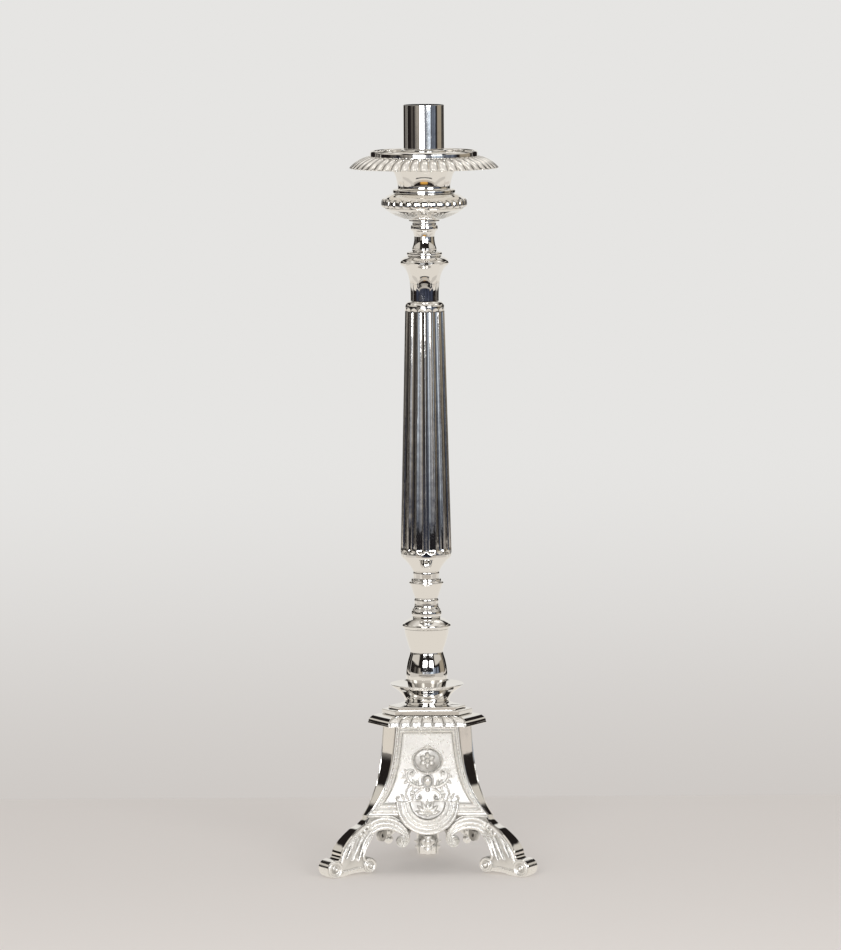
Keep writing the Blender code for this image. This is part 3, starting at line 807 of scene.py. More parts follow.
@dataclass(frozen=True)
class GeometryTools:
    """The node trees that repeat and shape pieces."""

    ring: Tree
    flutes: Tree
    beads: Tree
    grains: Tree

    @classmethod
    def build(cls) -> "GeometryTools":
        """Build every tree once."""
        return cls(cls._ring(), cls._flutes(), cls._beads(), cls._grains())

    @staticmethod
    def _finish(desk: NodeDesk, start: Node, end: Node,
                geometry: Socket) -> Tree:
        """End a tree in Realize Instances and Set Material.

        Args:
            desk: the tree's desk.
            start: its input node.
            end: its output node.
            geometry: what the tree has made.

        Returns:
            The tree.
        """
        real = desk.add("GeometryNodeRealizeInstances", {"Geometry": geometry})
        dressed = desk.add("GeometryNodeSetMaterial", {"Geometry": real.outputs[0],
                                                       "Material": start.outputs["Material"]})
        desk.fill(end, {"Geometry": dressed.outputs[0]})
        return desk.tree

    @classmethod
    def _ring(cls) -> Tree:
        """Copies of one sector about the Z axis, then moved to their centre."""
        desk, start, end = new_group(
            "ring_of_sectors", "GeometryNodeTree",
            {"Geometry": (GEOMETRY, None), "Count": (WHOLE, 12),
             "Centre": (VECTOR, (0, 0, 0)), "Material": (MATERIAL, None)},
            {"Geometry": GEOMETRY})
        line = desk.add("GeometryNodeMeshLine", {"Count": start.outputs["Count"],
                                                 "Offset": (0.0, 0.0, 0.0)})
        turn = desk.times(desk.add("GeometryNodeInputIndex").outputs[0],
                         desk.math("DIVIDE", math.tau, start.outputs["Count"]))
        turn = desk.add("ShaderNodeCombineXYZ", {"Z": turn})
        copies = desk.add("GeometryNodeInstanceOnPoints", {
            "Points": line.outputs[0], "Instance": start.outputs["Geometry"],
            "Rotation": turn.outputs[0]})
        moved = desk.add("GeometryNodeTransform", {
            "Geometry": copies.outputs[0], "Translation": start.outputs["Centre"]})
        return cls._finish(desk, start, end, moved.outputs[0])

    @classmethod
    def _flutes(cls) -> Tree:
        """Round-ended flutes cut into a tapered column that stands on z = 0."""
        desk, start, end = new_group(
            "column_flutes", "GeometryNodeTree",
            {"Geometry": (GEOMETRY, None), "Flutes": (WHOLE, 16),
             "Top Radius": (FLOAT, 0.019), "Base Radius": (FLOAT, 0.025),
             "Length": (FLOAT, 0.24), "Depth": (FLOAT, 0.0017),
             "Margin": (FLOAT, 0.002), "Arris": (FLOAT, 0.0002),
             "Centre": (VECTOR, (0, 0, 0)), "Material": (MATERIAL, None)},
            {"Geometry": GEOMETRY})
        place = desk.add("GeometryNodeInputPosition").outputs[0]
        parts = desk.add("ShaderNodeSeparateXYZ", {"Vector": place})
        x, y, z = (parts.outputs[i] for i in range(3))
        share = desk.math("DIVIDE", z, start.outputs["Length"])
        radius = desk.add("ShaderNodeMapRange", {
            "Value": share, "To Min": start.outputs["Base Radius"],
            "To Max": start.outputs["Top Radius"]}).outputs[0]
        count = start.outputs["Flutes"]
        pitch = desk.math("DIVIDE", desk.times(radius, math.tau), count)
        angle = desk.math("DIVIDE", desk.math("ARCTAN2", x, desk.times(y, -1.0)),
                          math.tau)
        within = desk.math("FRACT", desk.plus(desk.times(angle, count), 64.0))
        across = desk.times(desk.minus(within, 0.5), pitch)
        half = desk.minus(desk.times(pitch, 0.5), start.outputs["Arris"])
        inset = desk.plus(half, start.outputs["Margin"])
        from_top = desk.minus(desk.minus(start.outputs["Length"], z), inset)
        past = desk.math("MAXIMUM", 0.0, desk.math(
            "MULTIPLY", -1.0, desk.math("MINIMUM", desk.minus(z, inset), from_top)))
        deep = start.outputs["Depth"]
        square = desk.times(half, half)
        ball = desk.math("DIVIDE", desk.plus(square, desk.times(deep, deep)),
                         desk.times(deep, 2.0))
        away = desk.plus(desk.times(across, across),
                         desk.times(past, past))
        sunk = desk.minus(desk.math("SQRT", desk.math("MAXIMUM", 0.0, desk.math(
            "SUBTRACT", desk.times(ball, ball), away))),
            desk.minus(ball, deep))
        sunk = desk.math("MAXIMUM", 0.0, sunk)
        reach = desk.math("SQRT", desk.plus(desk.times(x, x),
                                            desk.times(y, y)))
        outer = desk.math("GREATER_THAN", reach, desk.times(radius, 0.95))
        scale = desk.minus(1.0, desk.math(
            "MULTIPLY", outer, desk.math("DIVIDE", sunk, reach)))
        target = desk.add("ShaderNodeCombineXYZ", {
            0: desk.times(x, scale), 1: desk.times(y, scale), 2: z})
        cut = desk.add("GeometryNodeSetPosition", {"Geometry": start.outputs["Geometry"],
                                                   "Position": target.outputs[0]})
        worn = desk.add("GeometryNodeStoreNamedAttribute", {
            "Geometry": cut.outputs[0], "Name": "hollow_and_shade",
            "Value": desk.math("DIVIDE", sunk, desk.times(deep, 1.6))},
            data_type="FLOAT", domain="POINT")
        moved = desk.add("GeometryNodeTransform", {
            "Geometry": worn.outputs[0], "Translation": start.outputs["Centre"]})
        return cls._finish(desk, start, end, moved.outputs[0])

    @classmethod
    def _beads(cls) -> Tree:
        """Beads at an even pitch along the edges of a mesh."""
        desk, start, end = new_group(
            "beads_on_a_line", "GeometryNodeTree",
            {"Geometry": (GEOMETRY, None), "Pitch": (FLOAT, 0.0015),
             "Radius": (FLOAT, 0.0005), "Material": (MATERIAL, None)},
            {"Geometry": GEOMETRY})
        curve = desk.add("GeometryNodeMeshToCurve", {"Mesh": start.outputs["Geometry"]})
        even = desk.add("GeometryNodeResampleCurve", {"Curve": curve.outputs[0],
                                                      "Length": start.outputs["Pitch"]},
                        mode="LENGTH")
        bead = desk.add("GeometryNodeMeshIcoSphere", {"Radius": start.outputs["Radius"],
                                                      "Subdivisions": 2})
        copies = desk.add("GeometryNodeInstanceOnPoints", {
            "Points": even.outputs[0], "Instance": bead.outputs[0]})
        return cls._finish(desk, start, end, copies.outputs[0])

    @classmethod
    def _grains(cls) -> Tree:
        """Punched grains scattered over a surface."""
        desk, start, end = new_group(
            "punched_grains", "GeometryNodeTree",
            {"Geometry": (GEOMETRY, None), "Spacing": (FLOAT, 0.0012),
             "Density": (FLOAT, 400000.0), "Radius": (FLOAT, 0.0004),
             "Seed": (WHOLE, 7), "Material": (MATERIAL, None)},
            {"Geometry": GEOMETRY})
        spots = desk.add("GeometryNodeDistributePointsOnFaces", {
            "Mesh": start.outputs["Geometry"], "Distance Min": start.outputs["Spacing"],
            "Density Max": start.outputs["Density"], "Seed": start.outputs["Seed"]},
            distribute_method="POISSON")
        grain = desk.add("GeometryNodeMeshIcoSphere", {"Radius": start.outputs["Radius"],
                                                       "Subdivisions": 1})
        flat = desk.add("GeometryNodeTransform", {"Geometry": grain.outputs[0],
                                                  "Scale": (1.0, 1.0, 0.7)})
        copies = desk.add("GeometryNodeInstanceOnPoints", {
            "Points": spots.outputs["Points"], "Instance": flat.outputs[0],
            "Rotation": spots.outputs["Rotation"]})
        return cls._finish(desk, start, end, copies.outputs[0])


# --- turned stem ---

TURNED_CREASE = 28.0  # degrees
ROD_BORE = 4.3  # radius of the hole for the tie rod


@dataclass(frozen=True)
class Turning:
    """A turned piece: its outer outline from the top down, and how it is bored."""

    node: str
    outer: tuple[Station | Pair, ...]
    bore: float = ROD_BORE
    sides: int = 160
    rounding: float = 0.3
    step: float = 0.9
    body: Body = Body.STAND

    def shell(self) -> Shell:
        """Spin the outline about the spindle, closed by a straight bore."""
        base, _ = height_range(self.node)
        line = turner_line(self.outer, self.step, self.rounding)
        line = np.vstack((line, (self.bore, line[-1][1]), (self.bore, line[0][1])))
        line[:, 1] += base
        return Shell().grid(spun(line, self.sides), wrap_rows=True)

    def make(self, shop: Workshop) -> None:
        """Build and place the piece."""
        shop.place(f"{self.node}_turned", self.shell().mesh(self.node, TURNED_CREASE),
                   Slot.POLISHED, self.body, (self.node,))


@dataclass(frozen=True)
class LobedRing:
    """A ring of lobes: a closed section whose skin swells between equal grooves.

    The first `skin` points of the section are its skin; `head` and `tail` are how far from each
    end of the skin a lobe rounds off, and `notch` draws the grooves in at the rim.
    """

    name: str
    section: tuple[Pair, ...]
    skin: int
    lobes: int
    swell: float
    head: float
    tail: float
    columns: int = 18
    notch: float = 0.0

    def sector(self, base: float) -> Shell:
        """One lobe with its half grooves.

        Args:
            base: height that the section is counted from, in millimetres.

        Returns:
            The sector about the Z axis; its skin is the first part of the section.
        """
        skin = smooth_line(self.section[:self.skin], 0.55)
        along = run_length(skin)
        normal = left_normals(skin)
        if normal[:, 0].sum() < 0:
            normal = -normal
        across = np.linspace(-1.0, 1.0, self.columns + 1)
        angle = across * math.pi / self.lobes - math.pi / 2
        width = np.ones(len(along))
        if self.head:
            width *= np.sqrt(np.clip(1 - (1 - along / self.head).clip(0) ** 2, 0, 1))
        if self.tail:
            width *= np.sqrt(np.clip(1 - (1 - (along[-1] - along) / self.tail).clip(0) ** 2, 0, 1))
        ratio = np.abs(across)[None, :] / np.maximum(width, 1e-3)[:, None]
        dome = np.sqrt(np.clip(1 - ratio ** 2, 0, 1)) * np.minimum(1.0, width * 1.3)[:, None]
        lift = self.swell * (dome - 1.0)
        reach = skin[:, :1] + normal[:, :1] * lift
        height = skin[:, 1:] + normal[:, 1:] * lift + base
        reach = reach - self.notch * (along / along[-1])[:, None] ** 6 * across[None, :] ** 4
        rest = np.array(self.section[self.skin:])
        reach = np.vstack((reach, np.repeat(rest[:, :1], len(across), axis=1)))
        height = np.vstack((height, np.repeat(rest[:, 1:] + base, len(across), axis=1)))
        rows = np.stack((reach * np.cos(angle), reach * np.sin(angle), height), axis=-1)
        hollow_and_shade = np.vstack(((1 - dome) ** 3, np.full((len(rest), len(across)), 0.4)))
        return Shell().grid(rows, wrap_rows=True, wrap_columns=False, hollow_and_shade=hollow_and_shade)

    def make(self, shop: Workshop, slot: Slot, body: Body, node: str,
             stands_for: Sequence[str] = ()) -> None:
        """Repeat the sector round the spindle and place the ring.

        Args:
            shop: the workshop.
            slot: its finish.
            body: the body it rides on.
            node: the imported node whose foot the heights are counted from.
            stands_for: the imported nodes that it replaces.
        """
        sector = self.sector(height_range(node)[0]).raw_mesh(self.name)
        mesh = shop.run_tree(sector, shop.tools.ring,
                             {"Count": self.lobes, "Centre": (SPINDLE.x, SPINDLE.y, 0.0)}, slot)
        shop.place(self.name, mesh, slot, body, stands_for)


@dataclass(frozen=True)
class CandleSocket:
    """Open tube, its flange and its floor; they ride on the tube body."""

    outer: float = 20.0
    bore: float = 19.1
    flange: float = 22.6
    seat: float = 18.8

    def make(self, shop: Workshop) -> None:
        """Build the three pieces.

        Args:
            shop: the workshop.
        """
        low, high = height_range("candle_tube")
        tall = high - low
        Turning("candle_tube", (edge(self.bore, tall), edge(self.outer, tall),
                                edge(self.outer, 0.0), edge(self.bore, 0.0)),
                self.bore, 192, 0.22, body=Body.TUBE).make(shop)
        low, high = height_range("socket_flange")
        tall = high - low
        Turning("socket_flange", (edge(self.bore, tall), edge(21.6, tall),
                                  (22.3, tall - 0.4), edge(self.flange, tall - 1.4),
                                  edge(self.flange, 0.0), edge(self.bore, 0.0)),
                self.bore, 192, 0.2, body=Body.TUBE).make(shop)
        low, high = height_range("socket_floor")
        tall = high - low
        Turning("socket_floor", (edge(ROD_BORE, tall), edge(self.seat, tall),
                                 edge(self.seat, 0.0)),
                sides=96, rounding=0.2, body=Body.TUBE).make(shop)


@dataclass(frozen=True)
class DripPan:
    """Dished pan with an upright gallery inside a border of gadroons."""

    gallery: float = 52.8
    dish: float = 50.1
    floor: float = 11.0
    gadroons: int = 45

    def make(self, shop: Workshop) -> None:
        """Build the dish and the border.

        Args:
            shop: the workshop.
        """
        low, high = height_range("drip_pan")
        tall = high - low
        floor = self.floor
        Turning("drip_pan", (
            edge(ROD_BORE, floor), edge(30.0, floor), (44.0, floor + 0.1), (48.2, floor + 0.7),
            edge(self.dish, floor + 2.6), edge(self.dish, tall - 0.9), (50.7, tall - 0.2),
            (51.4, tall), (52.2, tall - 0.5), edge(52.6, tall - 1.4),
            edge(self.gallery, tall - 2.2), edge(self.gallery, 11.9), edge(52.2, 9.4),
            edge(50.0, 9.0), (30.0, 9.0), edge(12.0, 9.0)),
            sides=240, rounding=0.2, body=Body.PAN).make(shop)
        border = ((52.5, 12.1), (54.6, 11.7), (58.2, 10.9), (62.0, 9.3), (65.6, 7.3),
                  (68.6, 5.1), (71.0, 2.9), (72.4, 1.4), (72.7, 0.9), (72.2, 0.3), (71.4, 0.1),
                  (68.8, 1.9), (65.4, 3.9), (60.0, 6.4), (56.0, 7.9), (52.5, 8.9))
        LobedRing("drip_pan_gadroons", border, 9, self.gadroons, 2.3, 5.0, 0.0, notch=1.2).make(
            shop, Slot.POLISHED, Body.PAN, "drip_pan")


@dataclass(frozen=True)
class Knop:
    """Collar, reeded shoulder and ribbed bowl under the pan."""

    reeds: int = 28

    def make(self, shop: Workshop) -> None:
        """Build the neck, the collar, both halves and their lobes.

        Args:
            shop: the workshop.
        """
        Turning("pan_neck", (
            edge(37.0, 28.8), (33.8, 22.4), (30.6, 17.6), (28.3, 13.6),
            (27.0, 9.6), (26.1, 5.4), (25.7, 2.4), edge(25.9, 0.6),
            edge(27.0, 0.0)), sides=192).make(shop)
        Turning("knop_collar", (edge(29.9, 3.7), edge(30.7, 3.0), edge(30.7, 0.7),
                                edge(30.0, 0.0)), sides=192, rounding=0.2).make(shop)
        Turning("knop_shoulder", (
            edge(28.0, 12.7), (32.6, 12.2), (36.4, 10.2), edge(39.2, 7.4),
            edge(38.2, 7.0), edge(38.2, 0.0)), sides=192, rounding=0.2).make(shop)
        reed = ((38.6, 8.0), (40.4, 7.6), (41.3, 6.4), (41.8, 4.0), (41.8, 1.4), (41.3, -0.2),
                (39.6, -1.2), (37.0, -0.8))
        LobedRing("knop_reeds", reed, 7, self.reeds, 1.9, 2.2, 2.2, 22).make(
            shop, Slot.POLISHED, Body.STAND, "knop_shoulder")
        Turning("knop_bowl", (
            edge(38.4, 12.5), (38.7, 11.4), (37.6, 9.9), (32.6, 6.8),
            (25.6, 3.4), edge(18.8, 0.9), edge(17.0, 0.6),
            edge(15.6, 0.0)), sides=192, rounding=0.2).make(shop)
        rib = ((35.6, 8.4), (32.6, 6.5), (29.2, 4.8), (25.6, 3.1), (22.0, 1.8), (18.9, 0.7),
               (18.9, 2.2), (31.0, 7.2), (34.6, 9.2))
        LobedRing("knop_ribs", rib, 6, 2 * self.reeds, 0.5, 6.0, 2.5, 10).make(
            shop, Slot.POLISHED, Body.STAND, "knop_bowl")


@dataclass(frozen=True)
class Shaft:
    """Rings, capital, fluted column, cup, baluster and saucer."""

    flutes: int = 16
    flute_depth: float = 1.7
    flute_margin: float = 0.7
    flute_columns: int = 22
    arris: float = 0.3
    column_top: float = 19.1
    column_base: float = 24.9
    column_wall: float = 3.4
    fine_end: float = 12.0
    turnings: tuple[Turning, ...] = (
        Turning("neck_ring", (
            edge(15.0, 15.9), edge(15.0, 14.7), (12.6, 14.1), edge(11.7, 13.2),
            edge(11.7, 11.2), (12.7, 10.7), (13.2, 9.4), (13.2, 7.0),
            (12.7, 5.8), edge(11.4, 5.0), (10.5, 2.9), edge(9.9, 0.0))),
        Turning("vase_drum", (
            edge(9.9, 14.7), (10.0, 11.6), (10.8, 7.0), edge(12.1, 3.0), edge(11.9, 1.7),
            (12.7, 0.8), edge(14.0, 0.0))),
        Turning("capital_ring", (
            edge(16.2, 3.9), (17.0, 3.4), (17.3, 2.4), (17.2, 1.2),
            edge(16.6, 0.0))),
        Turning("capital_disc", (
            edge(17.0, 27.0), (20.6, 25.1), (23.3, 22.5), edge(23.9, 20.7),
            edge(23.4, 18.9), (19.8, 15.6), (17.6, 12.4), (16.1, 8.8),
            (15.2, 4.8), (14.7, 1.8), edge(14.5, 0.0)), rounding=0.15),
        Turning("capital_drum", (edge(14.5, 16.1), (14.15, 12.6), (13.95, 8.4),
                                 edge(13.9, 0.0)), rounding=0.15),
        Turning("column_cap", (
            edge(14.3, 5.7), (16.7, 4.8), (18.7, 2.5), edge(19.2, 0.9),
            edge(19.2, 0.0))),
        Turning("column_cup", (
            edge(24.8, 17.3), edge(24.7, 14.8), edge(23.7, 13.2), (19.1, 8.4),
            (16.0, 4.7), (14.2, 1.8), edge(13.4, 0.0))),
        Turning("upper_spool", (edge(12.2, 6.9), (12.8, 6.0), (12.75, 3.0),
                                edge(12.6, 0.0))),
        Turning("mid_collar", (
            edge(14.3, 19.1), (14.7, 18.4), edge(14.7, 16.8), edge(16.2, 16.5),
            (16.9, 15.6), (16.9, 14.4), edge(16.0, 13.2), (14.9, 10.6),
            (13.7, 7.0), (12.5, 3.4), edge(11.2, 0.0))),
        Turning("lower_spool", (edge(11.1, 9.7), (11.8, 8.6), (11.7, 4.4),
                                (11.9, 1.6), edge(12.8, 0.0))),
        Turning("lower_collar", (
            edge(13.4, 9.1), (13.8, 8.6), edge(13.8, 7.3), edge(14.4, 6.9),
            (14.7, 5.8), (14.7, 2.6), edge(13.6, 0.0))),
        Turning("baluster_disc", (
            edge(13.4, 10.3), (16.9, 9.3), (20.8, 6.8), edge(23.4, 4.6),
            (24.0, 3.2), (23.6, 1.4), edge(22.3, 0.0))),
        Turning("baluster", (
            edge(22.1, 56.7), (21.5, 52.8), (20.0, 46.8), (18.1, 40.4),
            (16.8, 36.6), (16.3, 33.6), (17.1, 30.4), (18.5, 25.8),
            (19.8, 19.4), (20.5, 12.4), (20.2, 6.2), edge(18.8, 0.0)), sides=192),
        Turning("saucer", (
            edge(19.4, 13.6), (28.0, 14.5), edge(35.4, 16.5), edge(36.2, 15.9),
            (34.0, 13.6), (29.2, 10.2), (25.2, 6.6), (22.8, 3.4),
            edge(21.9, 0.0))),
        Turning("base_neck", (edge(21.9, 3.2), (21.8, 2.4), (23.2, 1.0),
                              edge(26.2, 0.0))))

    def column(self, shop: Workshop) -> None:
        """Cut the flutes with the node tree and place the column.

        Args:
            shop: the workshop.
        """
        low, high = height_range("fluted_column")
        length = high - low
        end = self.fine_end
        heights = np.concatenate((np.linspace(0, end, 25), np.linspace(end, length - end, 24)[1:-1],
                                  np.linspace(length - end, length, 25)))
        line = [(self.column_base + (self.column_top - self.column_base) * z / length, z)
                for z in heights]
        line += [(self.column_top - self.column_wall, length),
                 (self.column_base - self.column_wall, 0.0)]
        rows = spun(np.array(line), self.flutes * self.flute_columns)
        mesh = Shell().grid(rows, wrap_rows=True).raw_mesh("column")
        mesh = shop.run_tree(mesh, shop.tools.flutes, {
            "Flutes": self.flutes, "Top Radius": self.column_top * MM,
            "Base Radius": self.column_base * MM, "Length": length * MM,
            "Depth": self.flute_depth * MM, "Margin": self.flute_margin * MM,
            "Arris": self.arris * MM,
            "Centre": (SPINDLE.x, SPINDLE.y, low * MM)}, Slot.POLISHED, 30.0)
        shop.place("column_fluted", mesh, Slot.POLISHED, Body.STAND, ("fluted_column",))

    def make(self, shop: Workshop) -> None:
        """Build every piece of the shaft."""
        for turning in self.turnings:
            turning.make(shop)
        self.column(shop)


# --- three-sided base ---

FACE_TURNS = {"front": 0.0, "right": 120.0, "left": 240.0}
CORNER_TURNS = {"back": 0.0, "left": 120.0, "right": 240.0}
Carrier = Callable[[Array, Array, Array], Array]


@dataclass(frozen=True)
class BasePlan:
    """Six-sided plan of the base: how far faces and canted corners lie from the spindle."""

    top_face: float = 32.0
    top_corner: float = 42.5
    face_slope: float = 2.0
    face_flare: float = 5.5
    corner_slope: float = 8.0
    corner_flare: float = 20.5
    low: float = field(default_factory=lambda: height_range("corner_strip_back")[0])
    high: float = field(default_factory=lambda: height_range("corner_strip_back")[1])

    def drop(self, height: Array | float) -> Array:
        """Share of the way down from the top of the body."""
        return np.maximum(0.0, (self.high - np.asarray(height, float)) / (self.high - self.low))

    def face(self, height: Array | float) -> Array:
        """Distance of a face at a height."""
        drop = self.drop(height)
        return self.top_face + self.face_slope * drop + self.face_flare * drop ** 4

    def corner(self, height: Array | float) -> Array:
        """Distance of a canted corner at a height."""
        drop = self.drop(height)
        return self.top_corner + self.corner_slope * drop + self.corner_flare * drop ** 3.6

    @staticmethod
    def half(own: Array | float, other: Array | float) -> Array:
        """Half length of a side at distance `own` between neighbours at `other`."""
        return (np.asarray(other) - 0.5 * np.asarray(own)) / math.sin(math.radians(60))

    def on_face(self, x: Array, z: Array, out: Array) -> Array:
        """Points proud of the front face, from place across, height and distance out."""
        return np.stack((x, -(self.face(z) + out), z), axis=-1)

    def under_face(self, x: Array, z: Array, out: Array) -> Array:
        """Points in front of the upright plane through the lower edge of the front face."""
        return np.stack((x, -(self.face(self.low) + out), z + 0 * x), axis=-1)

    @staticmethod
    def on_leg(reach: Array, z: Array, side: Array) -> Array:
        """Points of the back foot, from reach, height and distance to one side."""
        return np.stack((side, reach, z), axis=-1)


def strand(carrier: Carrier, path: Array, half: Array | float,
           section: Sequence[Pair], rise: Array | float = 1.0,
           closed: bool = False) -> Shell:
    """A moulded band that follows a line on a surface.

    Args:
        carrier: turns (across, height, out) into points.
        path: the line, as points of the surface in millimetres.
        half: half width of the band, one number or one for each point.
        section: closed outline of (across, out), across in half widths.
        rise: factor on the positive part of `out`.
        closed: the line is a loop.

    Returns:
        The closed band.
    """
    normal = left_normals(path, closed)
    count = len(path)
    half = np.broadcast_to(half, count)[:, None]
    rise = np.broadcast_to(rise, count)[:, None]
    across, out = np.array(section).T[:, None]
    first = path[:, :1] + normal[:, :1] * half * across
    second = path[:, 1:] + normal[:, 1:] * half * across
    lift = np.where(out > 0, out * rise, out + 0 * rise)
    hollow_and_shade = np.clip(1.0 - out / max(0.01, out.max()), 0, 1) ** 2 * np.ones((count, 1))
    return Shell().grid(carrier(first, second, lift), wrap_rows=closed, cap=not closed,
                        hollow_and_shade=hollow_and_shade)


def rounded(rise: float, sink: float = 0.6, count: int = 9) -> list[Pair]:
    """Half-round section of a strand; `sink` is how deep its foot goes."""
    angles = np.radians(np.linspace(0, 180, count))
    return [(1.0, -sink)] + [(math.cos(a), rise * math.sin(a)) for a in angles] + [(-1.0, -sink)]


def ridged(ridges: int, rise: float, depth: float, back: float, points: int = 6) -> list[Pair]:
    """Section with several half-round ridges on its front, from one edge to the other.

    Args:
        ridges: number of ridges.
        rise: height of their crowns.
        depth: depth of the grooves between them.
        back: height of the back.
        points: points on each ridge.

    Returns:
        The closed section.
    """
    front = []
    for i in range(ridges * points + 1):
        across = 1.0 - 2.0 * i / (ridges * points)
        front.append((across, rise - depth * (1.0 - abs(math.sin(math.pi * i / points)))))
    return [(0.985, back)] + front + [(-0.985, back)]


def leaf(carrier: Carrier, start: Pair, end: Pair, width: float,
         rise: float, bow: float = 0.0) -> Shell:
    """A pointed lobe from one place to another, thickest near its middle.

    Args:
        carrier: turns (across, height, out) into points.
        start: foot of the lobe.
        end: its tip.
        width: half width at the widest place.
        rise: its height over the surface.
        bow: how far its middle bends to the left.

    Returns:
        The closed lobe.
    """
    a, b = np.array(start, float), np.array(end, float)
    side = np.array((a[1] - b[1], b[0] - a[0])) / max(1e-6, np.linalg.norm(b - a))
    t = np.linspace(0.0, 1.0, 11)[:, None]
    path = a + (b - a) * t + side * bow * np.sin(math.pi * t)
    swell = np.sin(math.pi * np.clip(t[:, 0] * 0.92 + 0.05, 0, 1)) ** 0.7
    return strand(carrier, path, width * swell + 0.03, rounded(rise, 0.5, 7), swell)


def boss(carrier: Carrier, centre: Pair, radii: Pair, rise: float,
         rings: int = 7, sides: int = 20) -> Shell:
    """A domed oval boss on a surface.

    Args:
        carrier: turns (across, height, out) into points.
        centre: its middle on the surface.
        radii: its half width and half height.
        rise: its height over the surface.
        rings: rows of points from the crown to the rim.
        sides: points on a row.

    Returns:
        The closed boss.
    """
    angle = np.linspace(0, math.tau, sides, endpoint=False)[None, :]
    share = np.linspace(0.0, math.pi / 2, rings)[:, None]
    reach = np.sin(share)
    first = centre[0] + radii[0] * reach * np.cos(angle)
    second = centre[1] + radii[1] * reach * np.sin(angle)
    out = rise * np.cos(share) + 0 * angle
    foot = (first[-1:], second[-1:], out[-1:] - 0.6)
    rows = carrier(np.vstack((first, foot[0])), np.vstack((second, foot[1])),
                   np.vstack((out, foot[2])))
    return Shell().grid(rows, cap=True, hollow_and_shade=np.vstack((reach ** 4, np.ones((1, 1)))) *
                        np.ones((1, sides)) * 0.8)


def drum(carrier: Carrier, centre: Pair, radius: float, rise: float) -> Shell:
    """A round end of a scroll: a rolled rim round a slightly sunk disc.

    Args:
        carrier: turns (across, height, out) into points.
        centre: its middle on the surface.
        radius: its radius.
        rise: height of the rim over the surface.

    Returns:
        The closed disc.
    """
    angle = np.linspace(0, math.tau, 40, endpoint=False)[None, :]
    reach, out = np.array(((0.5, 0.45), (0.68, 0.6), (0.78, 0.96), (0.86, 1.0), (0.93, 0.88),
                           (0.98, 0.5), (1.0, -0.3))).T[..., None]
    reach = radius * reach
    out = rise * out + 0 * angle
    first = centre[0] + reach * np.cos(angle)
    second = centre[1] + reach * np.sin(angle)
    hollow_and_shade = np.clip(1.0 - out / rise, 0, 1)
    return Shell().grid(carrier(first, second, out), cap=True, hollow_and_shade=hollow_and_shade)


def joined(shells: Iterable[Shell]) -> Shell:
    """One shell from several."""
    whole = Shell()
    for shell in shells:
        whole.joined_to(shell)
    return whole


def mirrored(shell: Shell) -> Shell:
    """A shell and its mirror image in the plane x = 0."""
    return joined((shell, shell.mirror_image()))


